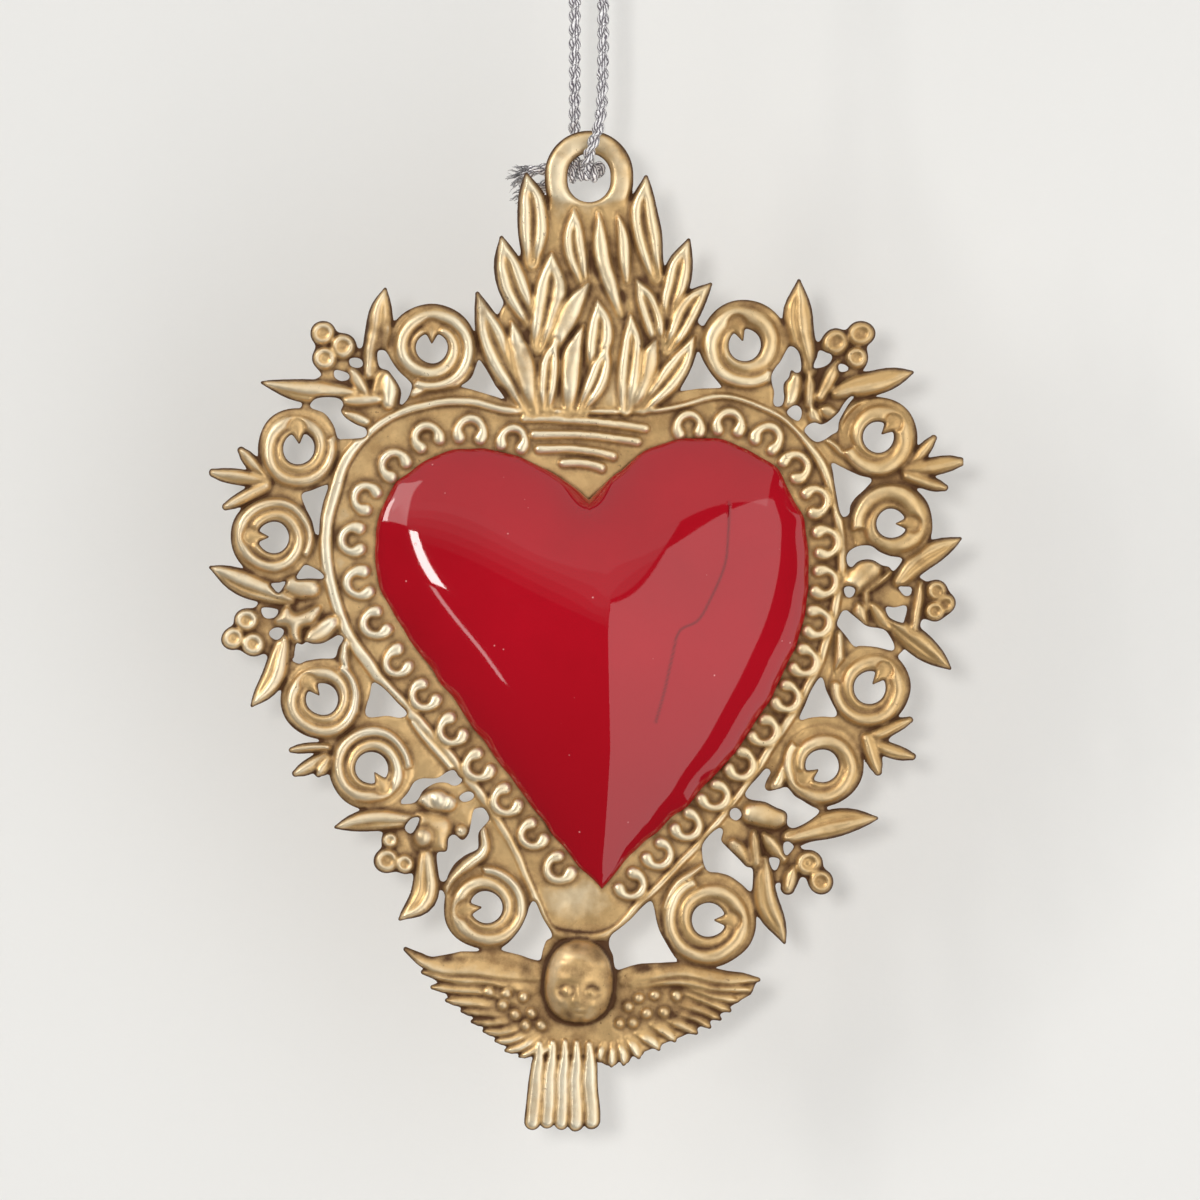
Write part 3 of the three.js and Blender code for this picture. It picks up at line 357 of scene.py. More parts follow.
def placeCamera():
    # straight at the plate: the picture is 168 mm tall at the sheet's front
    data = bpy.data.cameras.new("camera")
    camera = bpy.data.objects.new("camera", data)
    data.sensor_width = 36
    data.lens = 36 * cameraSet["away"] / cameraSet["tall"]
    x, z = cameraSet["middle"]
    camera.location = toRow([[x, -cameraSet["away"], z]])[0]
    camera.rotation_euler = (np.pi / 2, 0, 0)
    data.clip_end = 20
    bpy.context.scene.collection.objects.link(camera)
    bpy.context.scene.camera = camera


placeCamera()


# cord

cordSet = {
    "plyRadius": 0.52, "plyOffset": 0.36, "twist": 3.9, "ringStep": 0.22, "around": 22,
    "route": [
        [-2, 2.3, 3.3], [-2.05, 1.9, 5], [-2.05, 1.5, 8], [-2, 1.1, 13], [-2, 0.5, 19], [-2, 0, 25],
        [-2.1, 0, 33], [-2.4, 0, 43], [-2.8, 0, 53], [-3.1, 0, 63], [-3.25, 0, 72], [-3.2, 0, 77.8],
        [-2.27, 0, 80.07], [0, 0, 81], [2.27, 0, 80.07], [3.2, 0, 77.8], [3.25, 0, 72], [3.1, 0, 63],
        [2.8, 0, 53], [2.4, 0, 43], [2.1, 0, 33], [2, -0.2, 25], [2, -0.9, 19], [1.9, -1.8, 13],
        [1.7, -2.6, 9], [1.1, -2.8, 6.2], [0.3, -2.6, 4.2], [-0.2, -1.6, 2.6], [-0.4, -0.4, 1.9],
        [-0.5, 0.4, 1.7],
    ],
}


def carried(path, radius, angle, turnEach):
    # carries a closed section along a path: each ring is the section's points,
    # at their radius and angle, in the plane across the path, turned by turnEach
    tangent = np.gradient(path, axis=0)
    tangent /= np.linalg.norm(tangent, axis=1)[:, None]
    side = np.zeros_like(tangent)
    side[0] = np.cross(tangent[0], [0, 1, 0.01])
    for step in range(1, len(path)):
        side[step] = side[step - 1] - tangent[step] * np.dot(side[step - 1], tangent[step])
        side[step] /= np.linalg.norm(side[step])
    side[0] /= np.linalg.norm(side[0])
    up = np.cross(tangent, side)
    angle = (angle + turnEach[:, None])[..., None]
    return path[:, None] + radius[:, None] * (np.cos(angle) * side[:, None] + np.sin(angle) * up[:, None])


def twistedCord(name, path, settings):
    # two round plies side by side make the section: its radius at angle a is
    # offset * |cos a| + sqrt(ply^2 - offset^2 sin^2 a); it turns once each twist
    around = settings["around"]
    angle = np.linspace(0, 2 * np.pi, around, endpoint=False)
    ply, offset = settings["plyRadius"], settings["plyOffset"]
    reach = np.sqrt(np.maximum(ply ** 2 - (offset * np.sin(angle)) ** 2, 0.02))
    radius = offset * np.abs(np.cos(angle)) + reach
    lengths = np.concatenate([[0], np.cumsum(np.linalg.norm(np.diff(path, axis=0), axis=1))])
    rings = carried(path, radius, angle, 2 * np.pi * lengths / settings["twist"])
    points = np.vstack([rings.reshape(-1, 3), path[:1], path[-1:]])
    uv = np.stack([np.tile(angle / (2 * np.pi) * 2, len(path)),
                   np.repeat(lengths / settings["twist"], around)], axis=1)
    uv = np.vstack([uv, [[0, 0], [0, lengths[-1] / settings["twist"]]]])
    groups = [gridFaces(len(path), around, wrapColumns=True), capFaces(len(path), around)]
    return makePiece(name, points, groups, yarn, uv=uv), lengths[-1]


routeLength = np.linalg.norm(np.diff(np.array(cordSet["route"]), axis=0), axis=1).sum()
cordPath = smoothPath(cordSet["route"], int(routeLength / cordSet["ringStep"]))
cordPiece, cordLength = twistedCord("twisted_cord", cordPath, cordSet)
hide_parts("cord_loop", "cord_strand_left", "cord_strand_right")
print("cord", round(cordLength, 1), "mm")

knotSet = {
    "centre": (-1.0, 2.6, 1.3), "turns": 3.0, "long": 2.3, "deep": 0.8, "tall": 1.15, "around": 16,
    "back": [[2.5, 0.0, 0.3], [1.2, -0.1, 0.1], [0.0, 0.0, 0.0], [-1.2, 0.1, -0.1], [-2.6, 0.1, -0.2]],
}


def knotPath():
    # an overhand knot: the cord winds round its own axis while it creeps
    # along x, then runs back through the middle
    share = np.linspace(0, 1, 260)
    wind = share * knotSet["turns"] * 2 * np.pi
    x = knotSet["long"] * (2 * share - 1)
    y = knotSet["deep"] * np.cos(wind)
    z = knotSet["tall"] * np.sin(wind + 0.4)
    body = np.stack([x, y, z], axis=1)
    return smoothPath(np.vstack([body[::20], knotSet["back"]]), 300) + knotSet["centre"]


knotPiece, _ = twistedCord("cord_knot_wound", knotPath(), {**cordSet, "around": knotSet["around"]})
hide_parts("cord_knot")

fraySets = {
    "frayed_upper": {"path": [[-4.4, 2.6, 1.2], [-6, 2.65, 1.35], [-8, 2.6, 1.1], [-9.6, 2.45, 0.3]],
                     "node": "frayed_end_upper", "fray": 0.55, "fibres": 64, "spread": 1.1, "reach": 3.0,
                     "around": 16, "seed": 3},
    "frayed_lower": {"path": [[-4.3, 2.7, -0.3], [-6, 2.8, -0.9], [-7.8, 2.85, -1.5], [-9.0, 2.7, -2.5]],
                     "node": "frayed_end_lower", "fray": 0.55, "fibres": 56, "spread": 1.0, "reach": 2.8,
                     "around": 16, "seed": 8},
}


def frayedEnd(name, settings):
    # each fibre leaves the tail's centreline at its own place and bends out with
    # the power 1.6 of the way along it, in a small sine wave; its section is a
    # triangle that narrows to the tip
    rng = np.random.default_rng(settings["seed"])
    path = smoothPath(settings["path"], 60)
    count, stations, corners = settings["fibres"], 9, 3
    along = np.gradient(path, axis=0)
    along /= np.linalg.norm(along, axis=1)[:, None]
    leave = (rng.uniform(settings["fray"] - 0.2, 1.0, count) * (len(path) - 1)).astype(int)
    start = path[leave]
    heading = along[leave]
    aside = rng.normal(size=(count, 3)) * [1, 0.55, 1]
    aside -= heading * (aside * heading).sum(axis=1)[:, None]
    aside /= np.linalg.norm(aside, axis=1)[:, None]
    steps = np.linspace(0, 1, stations)[None, :, None]
    reach = rng.uniform(0.45, 1.0, count)[:, None, None] * settings["reach"]
    spread = rng.uniform(0.2, 1.0, count)[:, None, None] * settings["spread"]
    wave = 0.14 * np.sin(steps * 9 + rng.uniform(0, 6, count)[:, None, None])
    line = (start[:, None, :] + heading[:, None, :] * reach * steps
            + aside[:, None, :] * (0.35 + spread * steps ** 1.6 + wave))
    across = np.cross(heading, aside)
    corner = np.linspace(0, 2 * np.pi, corners, endpoint=False)[:, None]
    thick = (0.12 * (1 - 0.6 * steps[..., 0]))[..., None, None]
    ring = thick * (np.cos(corner) * aside[:, None, None, :] + np.sin(corner) * across[:, None, None, :])
    points = (line[:, :, None, :] + ring).reshape(-1, 3)
    faces = gridFaces(stations, corners, wrapColumns=True)
    stack = (faces[None] + (np.arange(count) * stations * corners)[:, None, None]).reshape(-1, 4)
    uv = np.stack([np.tile([0, 0.3, 0.6], stations), np.repeat(steps.ravel(), corners)], axis=1)
    uv = np.tile(uv, (count, 1))
    fibres = makePiece(name + "_fibres", points, [stack], yarn, uv=uv)
    stem, _ = twistedCord(name, path, {**cordSet, "around": settings["around"]})
    fibres.parent = stem
    return stem


tails = []
for label, settings in fraySets.items():
    stem = frayedEnd(label, settings)
    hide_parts(settings["node"])
    tails.append(stem)
print("knot and frayed ends made")

cordRow = toRow(cordPath)
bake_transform(cordPiece)
for piece in (knotPiece, *tails):
    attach(piece, "strands")


# stamped plate: a height field over the sheet

fieldSet = {"step": 0.2, "low": (-53.6, -134.0), "high": (52.6, 7.6), "sheet": 0.45, "weld": 0.5}
step = fieldSet["step"]
columnsX = np.arange(fieldSet["low"][0], fieldSet["high"][0], step)
rowsZ = np.arange(fieldSet["low"][1], fieldSet["high"][1], step)
gridX, gridZ = np.meshgrid(columnsX, rowsZ)
gap = np.full(gridX.shape, 9.0)        # distance outside the metal, below 0 in it
relief = np.zeros(gridX.shape)         # height of the front above the flat sheet
# line also carries painted shadow under the feathers and painted shade on the scrolls
line = np.zeros(gridX.shape)           # dark line where one form meets the next


def blurred(values, sigma):
    # gaussian over rows, then over columns; sigma in mm
    radius = int(3 * sigma / step) + 1
    offsets = np.arange(-radius, radius + 1)
    weights = np.exp(-0.5 * (offsets * step / sigma) ** 2)
    weights /= weights.sum()
    padded = np.pad(values, radius, mode="edge")
    rows, columns = values.shape
    first = sum(w * padded[radius + o:radius + o + rows, :] for o, w in zip(offsets, weights))
    return sum(w * first[:, radius + o:radius + o + columns] for o, w in zip(offsets, weights))


handSet = {"seed": 11, "swing": 0.09, "swingSize": 1.6, "dents": ((0.035, 1.0), (0.012, 0.4))}


def uneven(seed, sigma, height):
    # smooth random hills: blurred noise with the given deviation
    hills = blurred(np.random.default_rng(seed).normal(size=gridX.shape), sigma)
    return hills * height / hills.std()


# forms are drawn on a slightly swung grid, as lines cut by hand are
drawX = gridX + uneven(handSet["seed"], handSet["swingSize"], handSet["swing"])
drawZ = gridZ + uneven(handSet["seed"] + 1, handSet["swingSize"], handSet["swing"])


def windowAround(points, reach):
    # the rows and columns of the grid that hold the points, reach mm wider
    low = (np.min(points, axis=0) - reach - [columnsX[0], rowsZ[0]]) / step
    high = (np.max(points, axis=0) + reach - [columnsX[0], rowsZ[0]]) / step
    return (slice(max(int(low[1]), 0), max(int(high[1]) + 2, 1)),
            slice(max(int(low[0]), 0), max(int(high[0]) + 2, 1)))


def nearestOn(path, reach):
    # distance to the path, share of the way along it and signed side, at each
    # grid point of the window round it
    window = windowAround(path, reach)
    px, pz = drawX[window], drawZ[window]
    best = np.full(px.shape, 1e9)
    along = np.zeros(px.shape)
    side = np.ones(px.shape)
    last = len(path) - 1
    for index in range(last):
        a, d = path[index], path[index + 1] - path[index]
        share = np.clip(((px - a[0]) * d[0] + (pz - a[1]) * d[1]) / max(d @ d, 1e-9), 0, 1)
        dx, dz = px - a[0] - share * d[0], pz - a[1] - share * d[1]
        distance = dx * dx + dz * dz
        closer = distance < best
        best = np.where(closer, distance, best)
        along = np.where(closer, (index + share) / last, along)
        side = np.where(closer, np.where(d[0] * dz - d[1] * dx > 0, 1.0, -1.0), side)
    return window, np.sqrt(best), along, side


def withinRing(ring, px, pz):
    # true where a line to the right crosses the closed outline an odd number of times
    within = np.zeros(px.shape, dtype=bool)
    for a, b in zip(ring, np.roll(ring, -1, axis=0)):
        spans = (a[1] > pz) != (b[1] > pz)
        crossing = a[0] + (pz - a[1]) * (b[0] - a[0]) / (b[1] - a[1] if b[1] != a[1] else 1e-9)
        within ^= spans & (px < crossing)
    return within


def insideShape(points):
    # signed distance inside a closed outline, over its window
    window, distance, _, _ = nearestOn(np.vstack([points, points[:1]]), 2.0)
    return window, np.where(withinRing(points, drawX[window], drawZ[window]), distance, -distance)


def darken(window, mark):
    # the dark line is at least mark strong
    line[window] = np.maximum(line[window], mark)


def cutOut(window, inside):
    # an opening in the metal
    gap[window] = np.maximum(gap[window], inside)


def weldGap(window, inside, weld):
    # the metal grows by this form, its corners filled with a round of weld
    old, new = gap[window], -inside
    share = np.clip(0.5 + 0.5 * (old - new) / weld, 0, 1)
    gap[window] = old * (1 - share) + new * share - weld * share * (1 - share)


def lay(window, inside, height, soft=0.3, dark=1.0, sink=0.13, halo=0.25):
    # the form's height covers what lies under it; a sunk dark line goes round
    # it, in a wider brown halo
    cover = smoothStep(0, soft, inside)
    edge = hill(inside + 0.06, 0.17)
    relief[window] = relief[window] * (1 - cover) + height * cover - sink * edge * (1 - cover)
    brown = halo * hill(np.maximum(-inside, 0), 0.75)
    line[window] = np.maximum(line[window] * (1 - cover), np.maximum(0.6 * dark * edge, brown * (1 - cover)))


def stroke(path, widths, profile, weld=fieldSet["weld"], soft=0.3, dark=1.0, sink=0.13, joins=True,
           mark=None, halo=0.25):
    # a form carried along a path; widths are its half widths at even stations
    path = np.asarray(path, float)
    widths = np.asarray(widths, float)
    window, distance, along, side = nearestOn(path, widths.max() + 1.2)
    half = np.interp(along, np.linspace(0, 1, len(widths)), widths)
    inside = half - distance
    if joins:
        weldGap(window, inside, weld)
    u = np.clip(distance / half, 0, 1) * side
    lay(window, inside, profile(u, along), soft, dark, sink, halo)
    if mark is not None:
        darken(window, mark(u, along) * smoothStep(0, 0.3, inside))


def tube(rise, base=0.1, power=2.0):
    # bead: base + rise * sqrt(1 - |u|^power), round at 2 and flatter above it
    return lambda u, along: base + rise * roundOver(u, power)


def leafForm(rise, vein=0.0, lean=0.0, base=0.12):
    # a round crest at u = lean falling to both edges, and a crease beside it,
    # where the other half of the leaf lies lower
    def form(u, along):
        away = np.abs(u - lean) / np.where(u > lean, 1 - lean, 1 + lean)
        height = base + rise * (1 - away ** 2) ** 0.75
        crease = lean - np.sign(lean + 1e-6) * 0.42
        return height - vein * hill(u - crease, 0.15) * smoothStep(0.05, 0.3, along)
    return form


def tongueForm(rise, ribs, base=0.25):
    # a flame's tongue: bars side by side that meet at the tip; each bar is
    # round across, sqrt|cos| or sqrt|sin| of the way over the tongue, and the
    # floors between them start below the tip
    def form(u, along):
        wave = np.cos if ribs % 2 else np.sin
        bars = np.abs(wave(u * np.pi * ribs / 2)) ** 0.5
        parted = smoothStep(0.1, 0.34, along)
        body = (1 - parted) * (1 - u * u) ** 0.5 + parted * (0.35 + 0.65 * bars)
        body = body * (1 - 0.6 * smoothStep(0.75, 1, along))
        return base + rise * body * roundOver(u, 6)
    return form


# half widths of a leaf from its tip to its root
pointed = np.array([0.14, 0.46, 0.72, 0.89, 0.98, 1.0, 0.98, 0.92, 0.82, 0.7, 0.58])
rounded = np.array([0.5, 0.82, 0.96, 1.0, 0.98, 0.9, 0.8])


def flatPatch(outline, level, weld=0.6):
    # a flat sheet inside the outline, at least level high
    window, inside = insideShape(pairs(outline))
    weldGap(window, inside, weld)
    relief[window] = np.maximum(relief[window], level * smoothStep(0, 0.3, inside))


# heart band

bandSet = {
    "outline": [
        8.5, -31.4, -10, -31.2, -16.7, -30.1, -22.3, -30.4, -28.6, -32.5, -34.2, -37.8, -37.2, -45.8,
        -37.8, -52.1, -35.4, -62.6, -30, -70.7, -22.3, -79.4, -13.6, -89.9, -8, -101.1, -5, -106.4, 3, -106.4,
        8.5, -101.2, 15.5, -94.1, 24.2, -82.9, 32.1, -70, 35.6, -58.4, 36.1, -51.4, 34.9, -43.7, 31.6, -36.7,
        26.5, -32.1, 18.6, -29.5,
    ],
    "field": 0.2, "rise": 0.8, "half": 0.98, "groove": 0.13,
}


def pressBand(settings):
    # one round roll rise * sqrt(1 - |u|^3) along the edge, with a dark sunk line
    # inside it; it is drawn in behind a flat lip at the top, and it is low and
    # narrow where the band runs down to the foot
    window, inside = insideShape(smoothPath(pairs(settings["outline"]), 160, closed=True))
    weldGap(window, inside, 0.6)
    x, z = gridX[window], gridZ[window]
    top = smoothStep(-41, -34, z)
    foot = smoothStep(-78, -92, z) * (0.5 + 0.5 * (x < 0))
    half = settings["half"] * (1 - 0.38 * top - 0.3 * foot - 0.2 * (x > 0))
    middle = half + 0.75 * top
    u = (inside - middle) / half
    height = settings["field"] + settings["rise"] * (1 - 0.5 * foot) * roundOver(u, 3)
    mark = 1.3 * hill(inside - middle - half - 0.05, settings["groove"])
    mark = np.maximum(mark, top * 0.6 * hill(inside - 0.72, 0.16))
    cover = smoothStep(0, 0.3, inside)
    relief[window] = np.maximum(relief[window] * (1 - cover), (height - 0.25 * mark) * cover)
    darken(window, mark * cover)


pressBand(bandSet)

# rim: one sheet round the band, with its openings cut after its forms

rimSet = {
    "level": 0.2,
    "outline": [
        -30, -23.4, -32.6, -24.4, -34.4, -23.2, -36.3, -21.6, -37.7, -23, -37.4, -27.7, -39.8, -29.7,
        -40.2, -31.8, -40.7, -38.1, -45.8, -40.6, -47.5, -42.8, -46.9, -44.8, -44.4, -49.3, -47.2, -55.9,
        -45.5, -58, -46.6, -59.9, -47.5, -61.6, -49.4, -63.8, -48.9, -65.5, -45.5, -66.4, -43.5, -68.6,
        -41.9, -71.7, -37.4, -73.1, -37.4, -78, -37.9, -80.8, -37.4, -82.9, -35.4, -82.2, -30.4, -82.6,
        -30.4, -87.1, -28.6, -89.2, -27.2, -91, -27.6, -93.4, -26.7, -95.2, -25.1, -95.8, -23.9, -95.8,
        -22.7, -98, -20.9, -99.4, -19.2, -101.1, -14.6, -101.8, -14.6, -106.7, -15.3, -108.9, -6.9, -113,
        -0.6, -115.1, 9.9, -112, 15.5, -110.2, 16.8, -104.6, 22.3, -101.8, 24.2, -103.2, 25.1, -99, 26.7, -98.6,
        28.4, -97.6, 30.4, -95.8, 29.5, -93.5, 31.6, -92.4, 33.7, -90.7, 32.9, -87.1, 32.6, -82.2, 36.3, -81.1,
        40.7, -80.4, 42.1, -77.8, 39.1, -71.7, 42.1, -67.8, 43.8, -66.1, 44.2, -64.1, 45.5, -62.2, 48.3, -60.8,
        50, -59.4, 48.3, -57.4, 45.6, -55.6, 44.2, -53.9, 43.5, -52.1, 42.1, -47.2, 44.2, -44, 48, -42.6,
        47.7, -39.8, 43.5, -37.5, 40.5, -36.3, 39.1, -31.4, 39.6, -29.4, 37.9, -27.2, 38.2, -24.4, 37.9, -22.1,
        36.3, -22.4, 34.6, -23, 32.6, -23.5, 31.2, -22.7, 28.8, -22.7, 27.4, -21.3, 21.8, -23.4, 17.2, -22,
        15.1, -20.2, 12.7, -21.3, 1.5, -17.1, -11.1, -21.3, -15.5, -23.4, -22, -23.9, -26.5, -22, -28.1, -21.3,
    ],
    "openings": [
        [-33.5, -25.5, -32.6, -25.3, -31.8, -25.6, -31.6, -26.3, -32.3, -26.6, -33.3, -26.3],
        [-35.6, -27, -34.7, -27, -33.6, -27.4, -33.6, -28.1, -34.7, -28.4, -35.6, -27.9],
        [-38.9, -31.4, -37.9, -30.8, -35.6, -30.7, -34.6, -31.1, -34.4, -31.8, -34.7, -32.6, -34, -33.6,
         -32.6, -34.6, -31.2, -35.3, -31.4, -36.4, -34.2, -36.5, -35.1, -36.3, -35.7, -34.6, -37, -32.9,
         -38.9, -32.1],
        [-29.5, -24.5, -28.7, -24.1, -28.1, -24.5, -27.4, -25.8, -26.5, -27.2, -25.3, -28.4, -24.8, -29.1,
         -25.1, -30.4, -25.8, -31.5, -26.5, -31.8, -26.3, -30.2, -26.7, -29, -27.6, -27.6, -28.1, -27,
         -29.3, -26.5],
        [-15.4, -25.5, -14.7, -26.3, -13.6, -28, -11.8, -31.1, -12.7, -30.8, -15.3, -30.1, -17.8, -29.5,
         -18.2, -29.3, -17.4, -28.8, -16.5, -27.9, -15.8, -26.3],
        [-40.2, -44.4, -38.8, -43.8, -37.2, -43.1, -36.5, -43.1, -37.2, -45.4, -37.7, -47.9, -37.9, -50,
         -38.4, -49.6, -38.8, -47.9, -39.6, -46.2],
        [-39.6, -54.2, -38.4, -54.6, -37.2, -55.4, -37.1, -56.1, -39.1, -56.1, -40.7, -56.1, -40.9, -55.7,
         -40.2, -54.7],
        [-44.5, -56.8, -43.3, -56.6, -42.4, -56.4, -43.3, -58, -44.1, -57.4],
        [-45.9, -60.2, -43.7, -60.3, -43.5, -60.8, -44.1, -61.5, -45.5, -61.5],
        [-44.2, -63.1, -43.3, -62.9, -42.6, -63.3, -42.7, -64, -43.4, -64.7, -44.2, -64.5, -44.7, -63.8],
        [-41.4, -67.2, -41.2, -66.1, -40.9, -65.2, -40.2, -65.4, -39.6, -65, -38.8, -65.2, -37.4, -65.1,
         -36.1, -64.5, -35.1, -64, -34.3, -64.3, -34.4, -64.8, -35, -65.7, -35.4, -66.9, -36, -67.2,
         -37.7, -67.2, -39.5, -67.5, -40.7, -68, -41.7, -67.6],
        [-30.2, -70.7, -29.5, -70.8, -28.4, -71.7, -27, -73.4, -25.6, -74.9, -26.5, -75.5, -28.4, -75.2,
         -30.5, -75.5, -31.1, -75, -30.9, -73.8, -30.5, -72.4],
        [-19.7, -83.2, -18.8, -83, -18.1, -83.9, -17.6, -84.3, -18.1, -85, -18.9, -85.1, -19.7, -84.7,
         -20.9, -84.6, -22, -85, -23.1, -85.8, -23.7, -86.9, -24.4, -87.5, -26, -87.6, -26.2, -87.2,
         -25.3, -86.1, -24.6, -84.8, -24.1, -84.3, -23.1, -84, -21.1, -84],
        [-18.1, -86.8, -17.5, -86.2, -16.7, -86, -16.1, -86.4, -16.4, -87.1, -17.5, -87.4],
        [-25.8, -91, -25.3, -90.2, -24.6, -89.6, -23.7, -89.5, -23.7, -90, -24.2, -91.1, -24.8, -91.8,
         -25.5, -91.6],
        [-16.1, -88.6, -15.5, -88.2, -14.7, -88.2, -14, -89.2, -14, -89.9, -14.8, -90.9, -15.4, -91.8,
         -15.5, -93.7, -16, -94.2, -17.6, -94.9, -18.9, -95.9, -19.6, -97.2, -20, -98.3, -20.7, -98.4,
         -21, -97.2, -21.1, -94.4, -19.9, -94.1, -19.6, -92.4, -18.8, -92, -17.8, -92.8, -16.9, -92,
         -16.5, -90.6],
        [-7.7, -101.1, -7.1, -101.6, -6.2, -103.6, -5.2, -105.6, -5.2, -106.4, -5.9, -106.8, -6.4, -108.1,
         -6.9, -109.6, -8.3, -109.5, -9.7, -108.9, -11.1, -108.5, -12, -108.2, -12.2, -107.8, -11.1, -106.8,
         -9.7, -105, -8.7, -103, -8.3, -101.9],
        [15.3, -24.4, 16, -25.8, 17.1, -27.4, 18.6, -29.3, 18.1, -29.5, 15.5, -29.5, 13.4, -29.7, 12.3, -29.8,
         12.5, -29.1, 13.4, -27.2, 14.3, -25.5, 14.8, -24.5],
        [28.1, -23.7, 28.8, -23.8, 29.5, -24.6, 29.8, -25.9, 29.7, -27, 29.1, -27.3, 28.4, -26.9, 28, -27.9,
         27.3, -28.7, 27.2, -29.7, 27.3, -30.8, 27, -31.9, 26.2, -32.1, 25.8, -31.5, 25.9, -30, 25.6, -28.8,
         25.5, -27.6, 26, -26.6, 26.9, -25.6, 27.6, -24.4],
        [27.7, -32.9, 28.3, -32.1, 29.1, -31.8, 29.7, -32.2, 29.8, -33, 29.3, -33.9, 28.3, -33.6],
        [30.1, -35.1, 30.7, -34.3, 31.6, -34, 32.6, -34.3, 33.7, -33.9, 34.9, -32.8, 35.6, -31.6, 36.5, -30.7,
         37.1, -30.7, 36.3, -31.6, 35.6, -32.8, 35.1, -34, 34.9, -35.3, 34, -35.8, 33.2, -36.3, 32.3, -36.7,
         31.6, -36.7, 30.7, -36],
        [32.2, -24.1, 33.2, -24.5, 34, -24.9, 33.9, -25.8, 33, -26.5, 31.6, -26.7, 31.5, -26.2, 31.9, -25.2],
        [35, -26.3, 35.7, -26.2, 36.4, -26.7, 36, -27.2, 35.1, -27.2],
        [33.9, -39.8, 35.1, -40.3, 36.5, -41, 37.9, -41.6, 39.5, -42.1, 38.6, -43.4, 37.2, -44.7, 36.5, -45.9,
         36.4, -47, 35.8, -47.5, 35.4, -47.3, 35, -46.2, 34.6, -43.7, 34.2, -41.4],
        [36.5, -52.1, 37.7, -51.5, 39.1, -51.4, 39.9, -51.7, 40.7, -52.4, 42.1, -53.1, 43.8, -53.5, 43.4, -54.5,
         42.6, -55.2, 42, -54.6, 41, -54.3, 39.8, -53.5, 38.6, -53.3, 37.5, -53.6, 36.7, -54.3, 36.1, -53.9,
         36, -52.9],
        [35.7, -57.4, 36.4, -57.1, 37.2, -57.4, 37.2, -58.1, 36.7, -58.7, 36, -58.5],
        [43.3, -57.4, 44.2, -57.3, 45.1, -57.4, 44.9, -58.4, 44.1, -58.5],
        [41.6, -60.2, 42.8, -60.2, 44.2, -59.9, 44.5, -60.5, 44.2, -61.9, 44, -62.3, 42.8, -61.9, 41.9, -61.3],
        [35.3, -60.8, 36, -60.6, 36.7, -61.3, 37.7, -62.2, 38.8, -62.9, 40.5, -63, 41.4, -63.3, 42, -64.1,
         42.6, -65.4, 42.3, -66.1, 40, -65.7, 37.9, -65.5, 37, -65.5, 35.8, -64.1, 34.9, -63, 34.6, -62.3],
        [32.3, -69.9, 32.8, -70.3, 33.2, -71.7, 34, -73.4, 34.7, -74.8, 34.4, -75.5, 32.6, -75.5, 30.9, -75.6,
         29.7, -75.9, 29.4, -75.5, 30.2, -73.8, 31.2, -71.7],
        [24.6, -82.7, 25.3, -83.2, 24.8, -84.3, 24.6, -85.4, 25.2, -86, 26.7, -85.7, 27.7, -85.5, 28.8, -86.7,
         29.7, -87.2, 30.9, -87.9, 32.2, -88.6, 31.2, -89.6, 29.5, -90.6, 28.4, -90.9, 27.7, -90.4, 27.7, -88.9,
         26, -88.2, 24.6, -87.5, 22.8, -87.1, 22, -86.7, 21.8, -86.1, 22.5, -85, 23.5, -83.9],
        [20.4, -88.2, 21.1, -88.6, 21.3, -89.3, 20.7, -89.9, 20, -89.7, 19.6, -89.2, 19.7, -88.5],
        [18.2, -90.9, 18.8, -91.3, 18.6, -92.7, 19.2, -93.5, 20.9, -95.3, 22, -96.5, 22.8, -96.7, 23, -97.6,
         22.8, -99.5, 22.4, -99.8, 21.3, -98.8, 19.7, -97.7, 18.1, -97.2, 16.7, -97, 16.1, -96, 15.8, -94.1,
         16, -93.1, 17.1, -91.7],
        [27.2, -93, 27.9, -92.8, 28.6, -93.5, 28.1, -94.4, 27.6, -94.8, 27.2, -94.2],
        [25.2, -95.3, 26.5, -95.3, 26.6, -96, 26.2, -96.9, 25.6, -96.7],
        [8.7, -101.2, 9.1, -102.2, 9.4, -103.9, 9.9, -105.6, 10.9, -107.4, 12, -109.1, 12.6, -109.9,
         10.6, -109.9, 8.5, -109.9, 6.4, -110.2, 3.9, -110.9, 3.5, -110, 3.4, -108.9, 2.9, -107.5, 3.1, -106.1,
         4.3, -105.1, 6, -103.7, 7.8, -101.9],
    ],
}
flatPatch(rimSet["outline"], rimSet["level"])

# curls along the band

